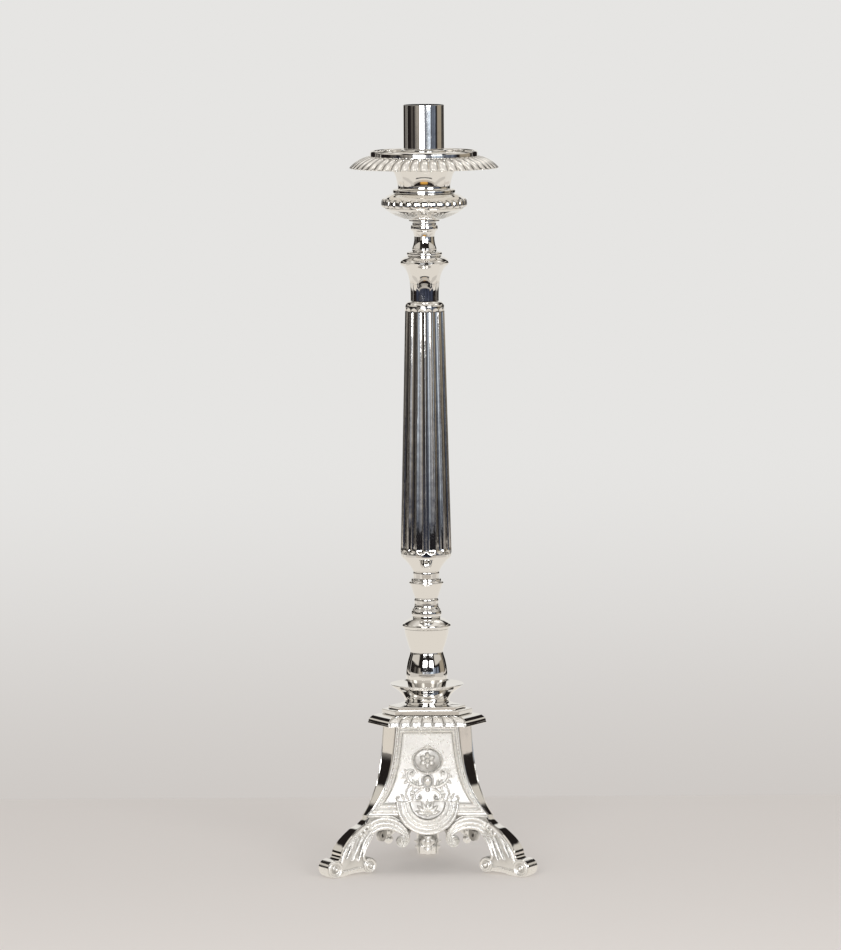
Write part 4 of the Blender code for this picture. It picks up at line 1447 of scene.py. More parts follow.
@dataclass(frozen=True)
class Cornice:
    """Stepped top plate over an ovolo: gadrooned on the faces, plain on the corners."""

    plan: BasePlan
    lobes: int = 7
    lobe_columns: int = 20
    swell: float = 1.9
    wall: float = 3.0
    mitre_gap: float = 0.1

    def ovolo(self) -> Array:
        """Line of the ovolo from its top to its lip, as (offset, height)."""
        low, high = height_range("gadroon_strip_front")
        angle = np.radians(np.linspace(0, 90, 15))
        curve = np.stack((1.6 + 11.0 * np.sin(angle), low + 1.9 + (high - low - 1.9) *
                          np.cos(angle)), axis=1)
        lip = [(12.9, low + 1.5), (13.0, low + 0.4), (12.6, low)]
        return np.vstack((curve, lip))

    def strip(self, own: float, other: float, facing: float, lobes: int) -> Shell:
        """One side of the ovolo between its mitres.

        Args:
            own: distance of this side's wall.
            other: distance of its neighbours' walls.
            facing: -1 for a face, 1 for a corner.
            lobes: number of gadroons, or 0 for a plain side.

        Returns:
            The closed strip.
        """
        line = self.ovolo()
        normal = left_normals(line)
        columns = max(2, lobes * self.lobe_columns)
        across = np.linspace(-1.0, 1.0, columns + 1)
        lift = np.zeros((columns + 1, len(line)))
        if lobes:
            phase = np.abs(((across + 1) / 2 * lobes) % 1.0 - 0.5) * 2
            lift += self.swell * (np.sqrt(np.clip(1 - phase ** 2, 0, 1)) - 1.0)[:, None]
            lift *= np.concatenate((np.linspace(0.35, 1, 4), np.ones(len(line) - 6),
                                    [0.4, 0.0]))[None, :]
        reach = own + line[:, 0] + lift * normal[:, 0]
        height = line[:, 1] + lift * normal[:, 1]
        half = self.plan.half(own + line[:, 0], other + line[:, 0]) - self.mitre_gap
        rows = np.stack((across[:, None] * half, facing * reach, height), axis=-1)
        inner = own - self.wall
        inner_half = self.plan.half(inner, other - self.wall) - self.mitre_gap
        back = np.array([(inner, line[-1, 1]), (inner, line[0, 1])])
        rest = np.stack((across[:, None] * inner_half * np.ones((1, 2)),
                         facing * back[:, 0] + 0 * across[:, None],
                         back[:, 1] + 0 * across[:, None]), axis=-1)
        hollow_and_shade = np.hstack((np.clip(-lift / self.swell, 0, 1) ** 2, np.zeros((columns + 1, 2))))
        return Shell().grid(np.concatenate((rows, rest), axis=1), cap=True, hollow_and_shade=hollow_and_shade)

    def plate(self) -> Shell:
        """The stepped plate."""
        low, high = height_range("top_plate")
        step = high - 3.1
        levels = [(0.2, low), (1.0, low + 0.5), (1.0, step - 0.9), (0.6, step - 0.3),
                  (-0.2, step), (-4.4, step + 0.2), (-4.7, step + 0.5), (-4.7, high - 0.8),
                  (-5.1, high - 0.2), (-5.8, high)]
        rows = []
        for offset, height in levels + [(-27.5, high), (-27.5, low)]:
            face, corner = self.plan.top_face + offset, self.plan.top_corner + offset
            half = float(self.plan.half(face, corner))
            ring = []
            for turn in FACE_TURNS.values():
                c, s = math.cos(math.radians(turn)), math.sin(math.radians(turn))
                for share in np.linspace(-1, 1, 9):
                    x, y = share * half, -face
                    ring.append((x * c - y * s, x * s + y * c, height))
            rows.append(ring)
        return Shell().grid(np.array(rows), wrap_rows=True)

    def make(self, shop: Workshop) -> None:
        """Build the plate and the six sides of the ovolo.

        Args:
            shop: the workshop.
        """
        shop.place("top_plate_stepped", self.plate().mesh("plate", TURNED_CREASE), Slot.POLISHED,
                   nodes=("top_plate",))
        face = self.strip(self.plan.top_face, self.plan.top_corner, -1.0, self.lobes)
        shop.place_round(FACE_TURNS, face, "cornice_gadroons", "gadroon_strip", Slot.CAST, 50.0)
        corner = self.strip(self.plan.top_corner, self.plan.top_face, 1.0, 0)
        shop.place_round(CORNER_TURNS, corner, "cornice_plain", "cornice_corner", Slot.POLISHED)


@dataclass(frozen=True)
class FacePanel:
    """A wide face: a double frame round a punched ground, with a half-round apron."""

    plan: BasePlan
    frame_width: float = 8.2
    bottom_rail: float = 13.5
    ground: float = -0.9
    apron_centre: float = 71.0
    apron_radius: float = 31.5
    wall: float = 3.0
    frame_foot: float = 0.6

    def half(self, level: Array) -> Array:
        """Half width of the face at each height."""
        return self.plan.half(self.plan.face(level), self.plan.corner(level)) - EDGE_GAP

    def moulding(self, inward: Array) -> Array:
        """Height of the frame at a distance in from its edge."""
        knots = ((0.0, -0.3), (0.05, 0.0), (0.16, 0.0), (0.19, 0.9), (0.28, 1.5), (0.37, 1.1),
                 (0.41, 0.0), (0.5, -0.3), (0.55, 0.5), (0.64, 1.2), (0.74, 0.8),
                 (0.78, -0.2), (0.86, -0.5), (1.0, self.ground))
        return np.interp(inward / self.frame_width, *zip(*knots))

    def slab(self) -> Shell:
        """The face above its lower edge, as a closed slab."""
        low, high = self.plan.low, self.plan.high
        width = self.frame_width
        inner_edge = width + self.frame_foot
        near = np.linspace(0.0, inner_edge, 38)
        levels = np.concatenate((low + near * self.bottom_rail / width,
                                 np.linspace(low + self.bottom_rail + 1, high - inner_edge, 34)
                                 [1:-1], high - near[::-1]))
        half = self.half(levels)
        middle = np.linspace(-1.0, 1.0, 30)[1:-1]
        rows = []
        for level, reach in zip(levels, half):
            inner = reach - inner_edge
            x = np.concatenate((-reach + near, middle * inner, reach - near[::-1]))
            rows.append(np.stack((x, np.full_like(x, level)), axis=-1))
        flat = np.array(rows)
        x, z = flat[..., 0], flat[..., 1]
        side = half[:, None] - np.abs(x)
        below = (z - low) * width / self.bottom_rail
        inward = np.clip(np.minimum(np.minimum(side, high - z), below), 0, width)
        out = self.moulding(inward)
        middle_of_apron = np.hypot(x, z - self.apron_centre) < 0.8 * self.apron_radius
        out = np.where(middle_of_apron & (z < self.apron_centre), self.ground - 0.3, out)
        front = self.plan.on_face(x, z, out)
        # painted shade, partly tarnish: the frame's grooves get a strong recess value so that the
        # dark cast film draws the lines their shading would give; the sunk ground gets little
        hollow_and_shade = np.clip(0.5 - out, 0, 1) ** 1.5 * np.where(inward > 0.88 * width, 0.12, 1.0)
        back_x = x * ((half - self.wall * 0.6) / half)[:, None]
        back = self.plan.on_face(back_x, z, np.full_like(x, -self.wall))
        loops = np.concatenate((front, back[:, ::-1]), axis=1)
        return Shell().grid(loops, cap=True, hollow_and_shade=np.hstack((hollow_and_shade, hollow_and_shade * 0)))

    def apron(self) -> Shell:
        """Half-round apron with concentric mouldings and a punched middle."""
        radius = self.apron_radius
        knots = ((0.0, -1.35), (16.6, -1.35), (17.2, 0.5), (18.4, 1.5), (19.8, 0.6), (20.2, 0.5),
                 (21.0, 1.3), (22.2, 1.9), (23.4, 1.3), (24.0, 0.7), (24.6, 0.8), (25.6, 1.7),
                 (27.0, 1.2), (27.5, 0.6), (28.2, 0.9), (29.4, 1.6), (30.8, 1.0), (31.3, 0.2),
                 (radius, -0.4))
        reach = np.concatenate((np.linspace(0, 16, 9), np.linspace(16.6, radius, 46)))
        out = np.interp(reach, *zip(*knots)) + 0.5
        angle = np.radians(np.linspace(180, 360, 73))[:, None]
        x, z = reach * np.cos(angle), self.apron_centre + reach * np.sin(angle)
        front = self.plan.on_face(x, z, out + 0 * angle)
        back = self.plan.on_face(x, z, np.full_like(x, -self.wall + 0.1))
        loops = np.concatenate((front, back[:, ::-1]), axis=1)
        hollow_and_shade = np.clip(1.0 - out / 1.6, 0, 1) + 0 * angle
        return Shell().grid(loops, cap=True, hollow_and_shade=np.hstack((hollow_and_shade, hollow_and_shade * 0)))

    def bead_line(self, name: str, turn: float) -> Mesh:
        """Line inside the frame that the beads follow.

        Args:
            name: name of the mesh.
            turn: turn of the face in degrees.

        Returns:
            A mesh of edges.
        """
        inset = self.frame_width * 0.93
        low, high = self.plan.low + self.bottom_rail * 0.93, self.plan.high - inset
        level = np.linspace(low, high, 60)
        half = self.half(level) - inset
        right = np.stack((half, level), axis=1)
        top = np.stack((np.linspace(half[-1], -half[-1], 40)[1:-1], np.full(38, high)), axis=1)
        left = right[::-1] * np.array((-1.0, 1.0))
        path = np.vstack((right, top, left))
        points = self.plan.on_face(path[:, 0], path[:, 1], np.full(len(path), self.ground + 0.35))
        verts = Shell(points=[points]).turned(turn).points[0] * MM
        mesh = bpy.data.meshes.new(name)
        mesh.from_pydata([(x + SPINDLE.x, y + SPINDLE.y, z) for x, y, z in verts],
                         [(i, i + 1) for i in range(len(verts) - 1)], [])
        return mesh

    def ground_sheet(self, name: str, turn: float) -> Mesh:
        """Open sheet over the ground, for the grains to stand on.

        Args:
            name: name of the mesh.
            turn: turn of the face in degrees.

        Returns:
            The sheet.
        """
        inset = self.frame_width + self.frame_foot
        level = np.linspace(self.plan.low + self.bottom_rail + 0.9, self.plan.high - inset, 40)
        half = self.half(level) - inset
        x = np.linspace(-1, 1, 20)[None, :] * half[:, None]
        z = np.repeat(level[:, None], 20, axis=1)
        sheet = Shell().grid(self.plan.on_face(x, z, np.full_like(x, self.ground))[:, ::-1],
                             wrap_columns=False)
        return sheet.turned(turn).mesh(name)

    def make(self, shop: Workshop) -> None:
        """Build the three faces.

        Args:
            shop: the workshop.
        """
        slab, apron = self.slab(), self.apron()
        for place, turn in FACE_TURNS.items():
            shop.place(f"panel_{place}", slab.turned(turn).mesh("panel", 60.0),
                       Slot.CAST, nodes=(f"face_panel_{place}",))
            shop.place(f"apron_{place}", apron.turned(turn).mesh("apron", 60.0),
                       Slot.CAST)
            beads = shop.run_tree(self.bead_line("bead_line", turn), shop.tools.beads,
                                  {"Pitch": 1.5 * MM, "Radius": 0.55 * MM}, Slot.CAST, 60.0)
            shop.place(f"panel_beads_{place}", beads, Slot.CAST)
            grains = shop.run_tree(self.ground_sheet("ground", turn), shop.tools.grains,
                                   {"Spacing": 1.25 * MM, "Radius": 0.42 * MM, "Seed": 5},
                                   Slot.CAST, 60.0)
            shop.place(f"panel_grains_{place}", grains, Slot.CAST)


@dataclass(frozen=True)
class Cartouche:
    """Cast ornament of a face: rosette in an oval, scrolls, leaves and a palmette."""

    plan: BasePlan
    ground: float = -0.9
    oval: Pair = (14.4, 12.6)
    oval_height: float = 111.3

    def surface(self, x: Array, z: Array, out: Array) -> Array:
        """Points over the sunk ground of the face."""
        return self.plan.on_face(x, z, out * 1.4 + self.ground + 0.1)

    def rosette(self) -> list[Shell]:
        """Six petals round a boss, inside an oval rim."""
        centre = (0.0, self.oval_height)
        angle = np.radians(np.linspace(0, 360, 72, endpoint=False))
        bed = boss(self.surface, centre, (12.6, 10.8), 0.5, 6, 40)
        bed.hollows_and_shade = [np.full_like(bed.hollows_and_shade[0], 0.75)]
        shells = [bed]
        for grow, width, rise in ((1.0, 1.1, 2.3), (0.86, 0.5, 1.5)):
            rim = np.stack((self.oval[0] * grow * np.cos(angle),
                            self.oval_height + self.oval[1] * grow * np.sin(angle)), axis=1)
            shells.append(strand(self.surface, rim, width, rounded(rise), closed=True))
        for i in range(6):
            turn = math.radians(60 * i + 30)
            spoke = np.array((math.cos(turn), math.sin(turn)))
            start, end = centre + spoke * 1.5, centre + spoke * 8.4
            shells.append(leaf(self.surface, tuple(start), tuple(end), 2.7, 2.9))
            shells.append(boss(self.surface, tuple(centre + spoke * 6.0), (1.7, 1.7), 3.5, 5, 14))
        shells.append(boss(self.surface, centre, (2.3, 2.3), 4.0))
        return shells

    def crest(self) -> list[Shell]:
        """Small shell of five lobes over the oval."""
        foot = (0.0, 123.0)
        shells = [boss(self.surface, foot, (2.2, 1.8), 3.4)]
        for turn in (-70, -35, 0, 35, 70):
            angle = math.radians(90 + turn)
            tip = (foot[0] + 5.2 * math.cos(angle), foot[1] + 4.6 * math.sin(angle))
            shells.append(leaf(self.surface, foot, tip, 1.1, 2.4))
        return shells

    def scrolls(self) -> list[Shell]:
        """Right half of the C-scrolls and their leaves."""
        wing = smooth_line([(3.6, 86.0), (9.0, 85.4), (15.2, 88.0), (19.6, 93.4), (20.4, 99.0),
                            (17.6, 102.2), (14.2, 101.4), (13.2, 98.6), (15.0, 97.0)], 0.9)
        share = np.linspace(0, 1, len(wing))
        shells = [strand(self.surface, wing, 1.9 - 1.0 * share, rounded(2.6), 1 - 0.25 * share)]
        shells.append(boss(self.surface, (15.6, 98.6), (1.9, 1.9), 3.0))
        lower = smooth_line([(4.2, 83.6), (8.6, 81.8), (12.4, 78.2), (12.2, 73.8), (8.8, 72.2),
                             (6.0, 74.2), (6.6, 77.2), (8.8, 77.4)], 0.8)
        share = np.linspace(0, 1, len(lower))
        shells.append(strand(self.surface, lower, 1.6 - 0.8 * share, rounded(2.4)))
        shells.append(boss(self.surface, (8.6, 75.2), (1.6, 1.6), 2.8))
        spray = smooth_line([(12.8, 74.8), (17.6, 71.6), (23.4, 70.4), (28.8, 71.4), (31.0, 74.2),
                             (29.4, 76.4), (27.2, 75.4)], 0.8)
        share = np.linspace(0, 1, len(spray))
        shells.append(strand(self.surface, spray, 1.3 - 0.5 * share, rounded(2.2)))
        shells.append(boss(self.surface, (28.6, 74.6), (1.2, 1.2), 2.4))
        for start, end, width in (
                ((15.2, 73.6), (17.6, 79.6), 1.5), ((19.0, 72.0), (22.4, 78.6), 1.6),
                ((23.0, 71.6), (26.4, 79.4), 1.6), ((21.6, 78.4), (20.4, 84.2), 1.3),
                ((12.0, 86.6), (14.4, 80.6), 1.5), ((15.6, 88.6), (19.4, 83.2), 1.6),
                ((18.4, 91.6), (23.2, 88.2), 1.6), ((20.0, 95.6), (24.4, 94.4), 1.5),
                ((20.4, 99.6), (23.0, 102.6), 1.3), ((10.0, 86.4), (10.6, 92.6), 1.6),
                ((12.4, 87.6), (15.0, 93.0), 1.4), ((12.2, 76.0), (17.4, 77.4), 1.4),
                ((11.6, 79.6), (17.0, 80.8), 1.2)):
            shells.append(leaf(self.surface, start, end, width, 2.2, 0.5))
        return shells

    def middle(self) -> list[Shell]:
        """Bosses between the scrolls, and a palmette on the apron."""
        shells = [boss(self.surface, (0.0, 91.4), (4.6, 5.2), 3.6, 8, 28),
                  boss(self.surface, (0.0, 98.6), (2.6, 2.1), 2.8),
                  boss(self.surface, (0.0, 82.6), (2.4, 2.6), 2.6)]
        rim = np.radians(np.linspace(0, 360, 44, endpoint=False))
        ring = np.stack((5.7 * np.cos(rim), 91.4 + 6.3 * np.sin(rim)), axis=1)
        shells.append(strand(self.surface, ring, 0.7, rounded(1.9), closed=True))
        for turn in range(-75, 76, 25):
            angle = math.radians(90 + turn)
            length = 15.5 - 3.0 * abs(turn) / 75
            foot = (1.2 * math.cos(angle), 58.6 + 1.2 * math.sin(angle))
            tip = (length * math.cos(angle), 58.6 + length * math.sin(angle))
            shells.append(leaf(self.on_apron, foot, tip, 1.9, 2.2))
        shells.append(boss(self.on_apron, (0.0, 58.6), (2.4, 2.2), 2.8))
        return shells

    def on_apron(self, x: Array, z: Array, out: Array) -> Array:
        """Points over the middle of the apron."""
        return self.plan.on_face(x, z, out * 1.4 - 0.85)

    def make(self, shop: Workshop) -> None:
        """Build the ornament of the three faces."""
        whole = joined((joined(self.rosette()), joined(self.crest()), joined(self.middle()),
                        mirrored(joined(self.scrolls()))))
        shop.place_round(FACE_TURNS, whole, "ornament", "panel_relief", Slot.CAST, 60.0)


@dataclass(frozen=True)
class CornerStrip:
    """Canted, polished corner of the body, with a fine bead along each edge."""

    plan: BasePlan
    wall: float = 3.0

    def shell(self) -> Shell:
        """The strip as a closed wall."""
        level = np.linspace(self.plan.low, self.plan.high, 70)[:, None]
        corner, face = self.plan.corner(level), self.plan.face(level)
        half = self.plan.half(corner, face) - 0.3
        edge_width = np.minimum(1.3, half * 0.3)
        shares = np.linspace(0, 1, 7)[None, :]
        bead_x = half - edge_width * shares
        bead_out = 0.7 * np.sin(math.pi * shares) + 0 * half
        flat = np.linspace(1, -1, 9)[None, 1:-1] * (half - edge_width)
        x = np.hstack((bead_x, flat, -bead_x[:, ::-1]))
        out = np.hstack((bead_out, 0 * flat, bead_out[:, ::-1]))
        front = np.stack((x, corner + out, level + 0 * x), axis=-1)
        inner = self.plan.half(corner - self.wall, face - self.wall) - 0.3
        back_x = np.hstack((-inner, inner))
        back = np.stack((back_x, corner - self.wall + 0 * back_x, level + 0 * back_x), axis=-1)
        return Shell().grid(np.concatenate((front, back), axis=1), cap=True)

    def make(self, shop: Workshop) -> None:
        """Build the three corners."""
        shop.place_round(CORNER_TURNS, self.shell(), "corner", "corner_strip", Slot.POLISHED, 40.0)


@dataclass(frozen=True)
class ScrollBracket:
    """Moulded C-scroll under each half of a face's lower edge, ending in a volute."""

    plan: BasePlan
    volute: Pair = (25.6, 32.9)

    def shell(self) -> Shell:
        """The right-hand bracket of the front face."""
        arch = [(57.0, 43.6), (50.0, 48.6), (42.0, 50.4), (34.0, 49.2), (27.0, 45.4),
                (21.4, 39.6), (20.2, 34.2)]
        coil = spiral(self.volute, 5.0, 2.0, 172, 575, 44)
        path = smooth_line(arch + [tuple(point) for point in coil[3:]], 1.0)
        along = run_length(path)
        half = np.interp(along / along[-1], (0.0, 0.2, 0.42, 0.6, 0.75, 1.0),
                         (5.6, 6.6, 5.6, 3.0, 1.9, 1.1))
        band = strand(self.plan.under_face, path, half, ridged(3, 1.9, 1.2, -3.2))
        core = boss(self.plan.under_face, self.volute, (5.4, 5.4), 1.0, 6, 24)
        eye = boss(self.plan.under_face, self.volute, (2.0, 2.0), 3.1, 6, 18)
        fillet = strand(self.plan.under_face, smooth_line(
            [(58.0, 56.9), (46.0, 57.1), (34.0, 56.6), (27.6, 53.4)], 1.5), 0.8,
            rounded(1.6, 3.2))
        web = strand(self.plan.under_face, smooth_line(
            [(58.0, 52.4), (46.0, 54.0), (36.0, 53.2), (29.0, 49.6)], 1.5), 4.2,
            [(1.0, -3.0), (1.0, -0.2), (-1.0, -0.2), (-1.0, -3.0)])
        return joined((band, core, eye, fillet, web))

    def make(self, shop: Workshop) -> None:
        """Build both brackets of each face.

        Args:
            shop: the workshop.
        """
        right = self.shell()
        for place, turn in FACE_TURNS.items():
            for letter, shell in (("b", right), ("a", right.mirror_image())):
                mesh = shell.turned(turn).mesh("bracket", 55.0)
                shop.place(f"bracket_{letter}_{place}", mesh, Slot.CAST,
                           nodes=(f"scroll_bracket_{letter}_{place}",))


@dataclass(frozen=True)
class Pendant:
    """Turned drop with a lobed knob, under the middle of each apron."""

    plan: BasePlan
    lobes: int = 6

    def shell(self) -> Shell:
        """The pendant about its own axis."""
        line = turner_line((
            edge(0.05, 18.8), edge(3.6, 18.8), edge(4.4, 17.4), edge(3.4, 16.4), (5.6, 15.9),
            (7.1, 14.3), (6.9, 12.0), (5.2, 10.2), edge(3.0, 8.9), edge(2.6, 8.1),
            (3.7, 7.2), (4.3, 5.2), (3.9, 2.6), (2.4, 0.7), edge(0.05, 0.0)),
            0.5, 0.2)
        low, _ = height_range("pendant_front")
        grid = spun(line, 72)
        angle = np.linspace(0.0, math.tau, 72, endpoint=False)
        knob = np.clip(1 - np.abs(line[:, 1] - 12.9) / 3.4, 0, 1)[:, None] ** 0.5
        ribs = 1.0 - 0.3 * knob * (1 - np.abs(np.sin(self.lobes * angle / 2)))[None, :]
        grid[..., :2] *= ribs[..., None]
        grid[..., 2] += low
        out = float(self.plan.face(39.5)) - 1.5
        grid[..., 1] -= out
        return Shell().grid(grid, cap=True, hollow_and_shade=(1 - ribs) * 3)

    def make(self, shop: Workshop) -> None:
        """Build the three pendants."""
        shop.place_round(FACE_TURNS, self.shell(), "drop", "pendant", Slot.CAST, 40.0)


@dataclass(frozen=True)
class ScrollFoot:
    """Scroll foot: a cast leg with volutes and leaves on its sides, a polished band outside."""

    plan: BasePlan
    toe: Pair = (109.5, 8.8)
    toe_radius: float = 8.8
    heel: Pair = (70.5, 9.6)
    heel_radius: float = 7.6
    narrow: float = 5.5
    wide: float = 9.5

    def half_width(self, height: Array) -> Array:
        """Half width of the leg at a height."""
        return self.narrow + (self.wide - self.narrow) * np.clip((58.0 - height) / 30.0, 0, 1)

    def outline(self) -> Array:
        """Closed side view of the leg as (reach, height)."""
        outer = smooth_line([(58.5, 57.2), (68.0, 57.2), (74.0, 50.4), (85.3, 43.5), (96.0, 34.0),
                             (102.0, 25.4), (103.6, 18.6)], 1.6)
        toe = arc(self.toe, self.toe_radius, 118, -72, 22)
        sole = smooth_line([(110.0, 0.1), (98.0, 0.6), (90.0, 2.6), (79.0, 3.2)], 2.0)
        heel = arc(self.heel, self.heel_radius, -50, -292, 24)
        inner = smooth_line([(75.6, 20.4), (74.0, 28.0), (67.0, 37.0), (58.0, 43.0),
                             (46.2, 49.0)], 1.6)
        lug = np.array([(46.2, 75.8), (52.0, 75.8)])
        return np.vstack((outer, toe, sole, heel, inner, lug))

    def body(self) -> Shell:
        """The leg with rounded edges, its inner faces marked for painted shade."""
        line = self.outline()
        inward = -left_normals(line, closed=True)
        half = self.half_width(line[:, 1])
        rows = []
        for share, inset in ((-1.0, 1.5), (-0.97, 0.8), (-0.88, 0.25), (-0.7, 0.0), (0.0, 0.0),
                             (0.7, 0.0), (0.88, 0.25), (0.97, 0.8), (1.0, 1.5)):
            moved = line + inward * inset
            rows.append(self.plan.on_leg(moved[:, 0], moved[:, 1], (half - 0.9) * share))
        # painted shade: the leg's inner faces, beneath the body and above the heel, get a recess
        # value, so the cast film darkens them like shadow
        under = np.clip((78.0 - line[:, 0]) / 4.0, 0, 1) * np.clip((line[:, 1] - 12.0) / 6.0, 0, 1)
        inside = under * (line[:, 1] < 56.0)
        return Shell().grid(np.array(rows), cap=True, hollow_and_shade=inside[None, :] * np.ones((9, 1)))

    def on_side(self, reach: Array, z: Array, out: Array) -> Array:
        """Points proud of the leg's side."""
        return self.plan.on_leg(reach, z, self.half_width(z) - 1.1 + out)

    def side_relief(self) -> Shell:
        """Volutes, ribs and leaves of one side."""
        shells = []
        toe_coil = spiral(self.toe, 7.4, 1.6, 150, -400, 64)
        leg = smooth_line([(62.5, 55.5), (70.0, 49.4), (80.5, 43.0), (91.0, 34.4), (98.0, 25.6),
                           (101.2, 17.0), (102.1, 11.6)], 1.5)
        path = smooth_line(np.vstack((leg[:-1], toe_coil[2:])), 1.2)
        half = np.interp(np.linspace(0, 1, len(path)), (0, 0.4, 0.6, 1), (1.5, 2.0, 1.7, 0.9))
        shells.append(strand(self.on_side, path, half, rounded(2.0, 1.2)))
        heel_coil = spiral(self.heel, 6.3, 1.4, 40, 560, 64)
        inner = smooth_line([(60.5, 45.0), (68.4, 38.4), (75.4, 29.4), (77.6, 20.0),
                             (76.6, 14.6)], 1.5)
        path = smooth_line(np.vstack((inner[:-1], heel_coil[2:])), 1.2)
        half = np.interp(np.linspace(0, 1, len(path)), (0, 0.4, 0.6, 1), (1.4, 1.8, 1.5, 0.8))
        shells.append(strand(self.on_side, path, half, rounded(1.9, 1.2)))
        for centre, radius, rise in ((self.toe, 8.4, 2.4), (self.heel, 7.2, 1.6)):
            shells.append(drum(self.on_side, centre, radius, rise))
            shells.append(boss(self.on_side, centre, (2.4, 2.4), rise + 2.6, 7, 24))
        for start, middle, end, wide in (
                ((62.0, 54.6), (84.0, 39.4), (97.6, 18.4), 1.7),
                ((61.4, 52.0), (78.6, 36.8), (91.0, 15.6), 2.1),
                ((61.0, 48.8), (74.6, 35.4), (84.6, 15.0), 2.2),
                ((60.6, 46.0), (72.0, 32.4), (79.4, 18.6), 1.8)):
            vein = smooth_line([start, middle, end], 1.5)
            width = np.interp(np.linspace(0, 1, len(vein)), (0, 0.5, 1), (1.1, wide, 0.7))
            shells.append(strand(self.on_side, vein, width, rounded(2.5, 1.0)))
        for start, end, width in (
                ((68.6, 53.0), (64.6, 47.2), 2.0), ((72.6, 50.6), (68.4, 43.6), 2.2),
                ((77.0, 47.6), (72.4, 40.0), 2.3), ((81.8, 44.0), (77.0, 37.0), 2.2)):
            shells.append(leaf(self.on_side, start, end, width, 3.4, 0.6))
        foot_roll = smooth_line([(101.0, 5.2), (92.0, 6.4), (84.0, 7.4), (77.6, 7.0)], 1.5)
        shells.append(strand(self.on_side, foot_roll, 1.7, rounded(1.6, 1.2)))
        return joined(shells)

    def band(self) -> Shell:
        """Polished band over the outside of the leg and round the toe."""
        path = smooth_line(np.vstack(([(69.4, 57.3), (74.2, 50.8), (85.5, 43.9), (96.2, 34.4),
                                       (102.4, 25.6), (103.9, 19.4)],
                                      arc(self.toe, self.toe_radius - 0.1, 112, -60, 14))), 1.3)
        outward = left_normals(path)
        half = (self.half_width(path[:, 1]) - 0.4)[:, None]
        section = [(1.0, -1.6), (1.0, -0.3), (0.96, 0.05), (0.8, 0.1), (0.4, 0.1), (0.0, 0.1),
                   (-0.4, 0.1), (-0.8, 0.1), (-0.96, 0.05), (-1.0, -0.3), (-1.0, -1.6)]
        across, out = np.array(section).T[:, None]
        reach = path[:, :1] + outward[:, :1] * out
        height = path[:, 1:] + outward[:, 1:] * out
        return Shell().grid(self.plan.on_leg(reach, height, half * across), cap=True)

    def make(self, shop: Workshop) -> None:
        """Build the three feet.

        Args:
            shop: the workshop.
        """
        side = self.side_relief()
        leg = joined((self.body(), mirrored(side)))
        band = self.band()
        for place, turn in CORNER_TURNS.items():
            shop.place(f"leg_{place}", leg.turned(turn).mesh("leg", 50.0), Slot.CAST,
                       nodes=(f"foot_{place}",))
            shop.place(f"leg_band_{place}", band.turned(turn).mesh("band", 40.0),
                       Slot.POLISHED)


def dress_hardware(finishes: Finishes) -> None:
    """Give the rod and its fasteners the steel finish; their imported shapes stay."""
    for name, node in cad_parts.items():
        if name.startswith(("tie_rod", "clamp_", "foot_bolt_")):
            if not node.material_slots:
                node.data.materials.append(None)
            for slot in node.material_slots:
                slot.material = finishes.steel
            LOG.info("%s: packed shape in steel", name)


# --- studio ---

@dataclass(frozen=True)
class Card:
    """A soft light on the camera's side: its direction from the spindle and its size."""

    azimuth: float
    width: float
    low: float
    high: float
    distance: float
    radiance: float


class Board(NamedTuple):
    """A low upright board: its ends in plan from the spindle, its foot and top, in metres."""

    start: Pair
    end: Pair
    foot: float
    top: float
    tint: Colour


class Side(Enum):
    """Where a patch of the room lies."""

    ONE = "at its own azimuths"
    BOTH = "at its own azimuths and mirrored to the other side"


class Patch(NamedTuple):
    """A part of the room that the silver mirrors, by angles in degrees from the spindle."""

    azimuths: Pair
    elevations: Pair
    tint: Colour
    soft: float
    side: Side = Side.ONE
    mottle: float = 0.0


ROOM = (
    Patch((156, 181), (-40, 32), (0.80, 0.78, 0.74), 2.0, Side.BOTH),
    Patch((104, 158), (-60, -7), (0.78, 0.74, 0.68), 2.0, Side.BOTH),
    Patch((104.5, 107.5), (-12, 40), (0.55, 0.52, 0.48), 0.6, Side.BOTH),
    Patch((124, 127), (-12, 10), (0.35, 0.33, 0.3), 0.8, Side.BOTH),
    Patch((110, 137), (13.5, 24.0), (0.62, 0.58, 0.52), 1.5, Side.BOTH),
    Patch((50, 106), (13.0, 36.0), (0.62, 0.58, 0.52), 4.0, Side.BOTH),
    Patch((82, 116), (-3.4, 14), (0.34, 0.29, 0.22), 3.0),
    Patch((-72, 72), (-14, -3.4), (0.040, 0.046, 0.070), 4.0, mottle=1.0),
    Patch((-50, -22), (-3.2, 9), (0.34, 0.31, 0.27), 6.0, mottle=0.7),
    Patch((-76, -62), (-3.2, 9), (0.09, 0.08, 0.07), 3.0, mottle=0.5),
    Patch((-121, -112), (-3.2, 0.5), (0.24, 0.22, 0.2), 2.0, mottle=0.3),
    Patch((-24, 4), (-3.2, 9), (0.48, 0.49, 0.52), 3.0, mottle=1.0),
    Patch((3, 18), (-3.2, 9), (0.24, 0.25, 0.28), 3.0, mottle=1.0),
    Patch((18, 42), (-3.2, 9), (0.58, 0.65, 0.74), 3.0, mottle=1.0),
    Patch((42, 72), (-3.2, 9), (0.15, 0.17, 0.21), 4.0, mottle=0.9),
    Patch((-16, 16), (-60, -24), (0.74, 0.38, 0.07), 3.0))
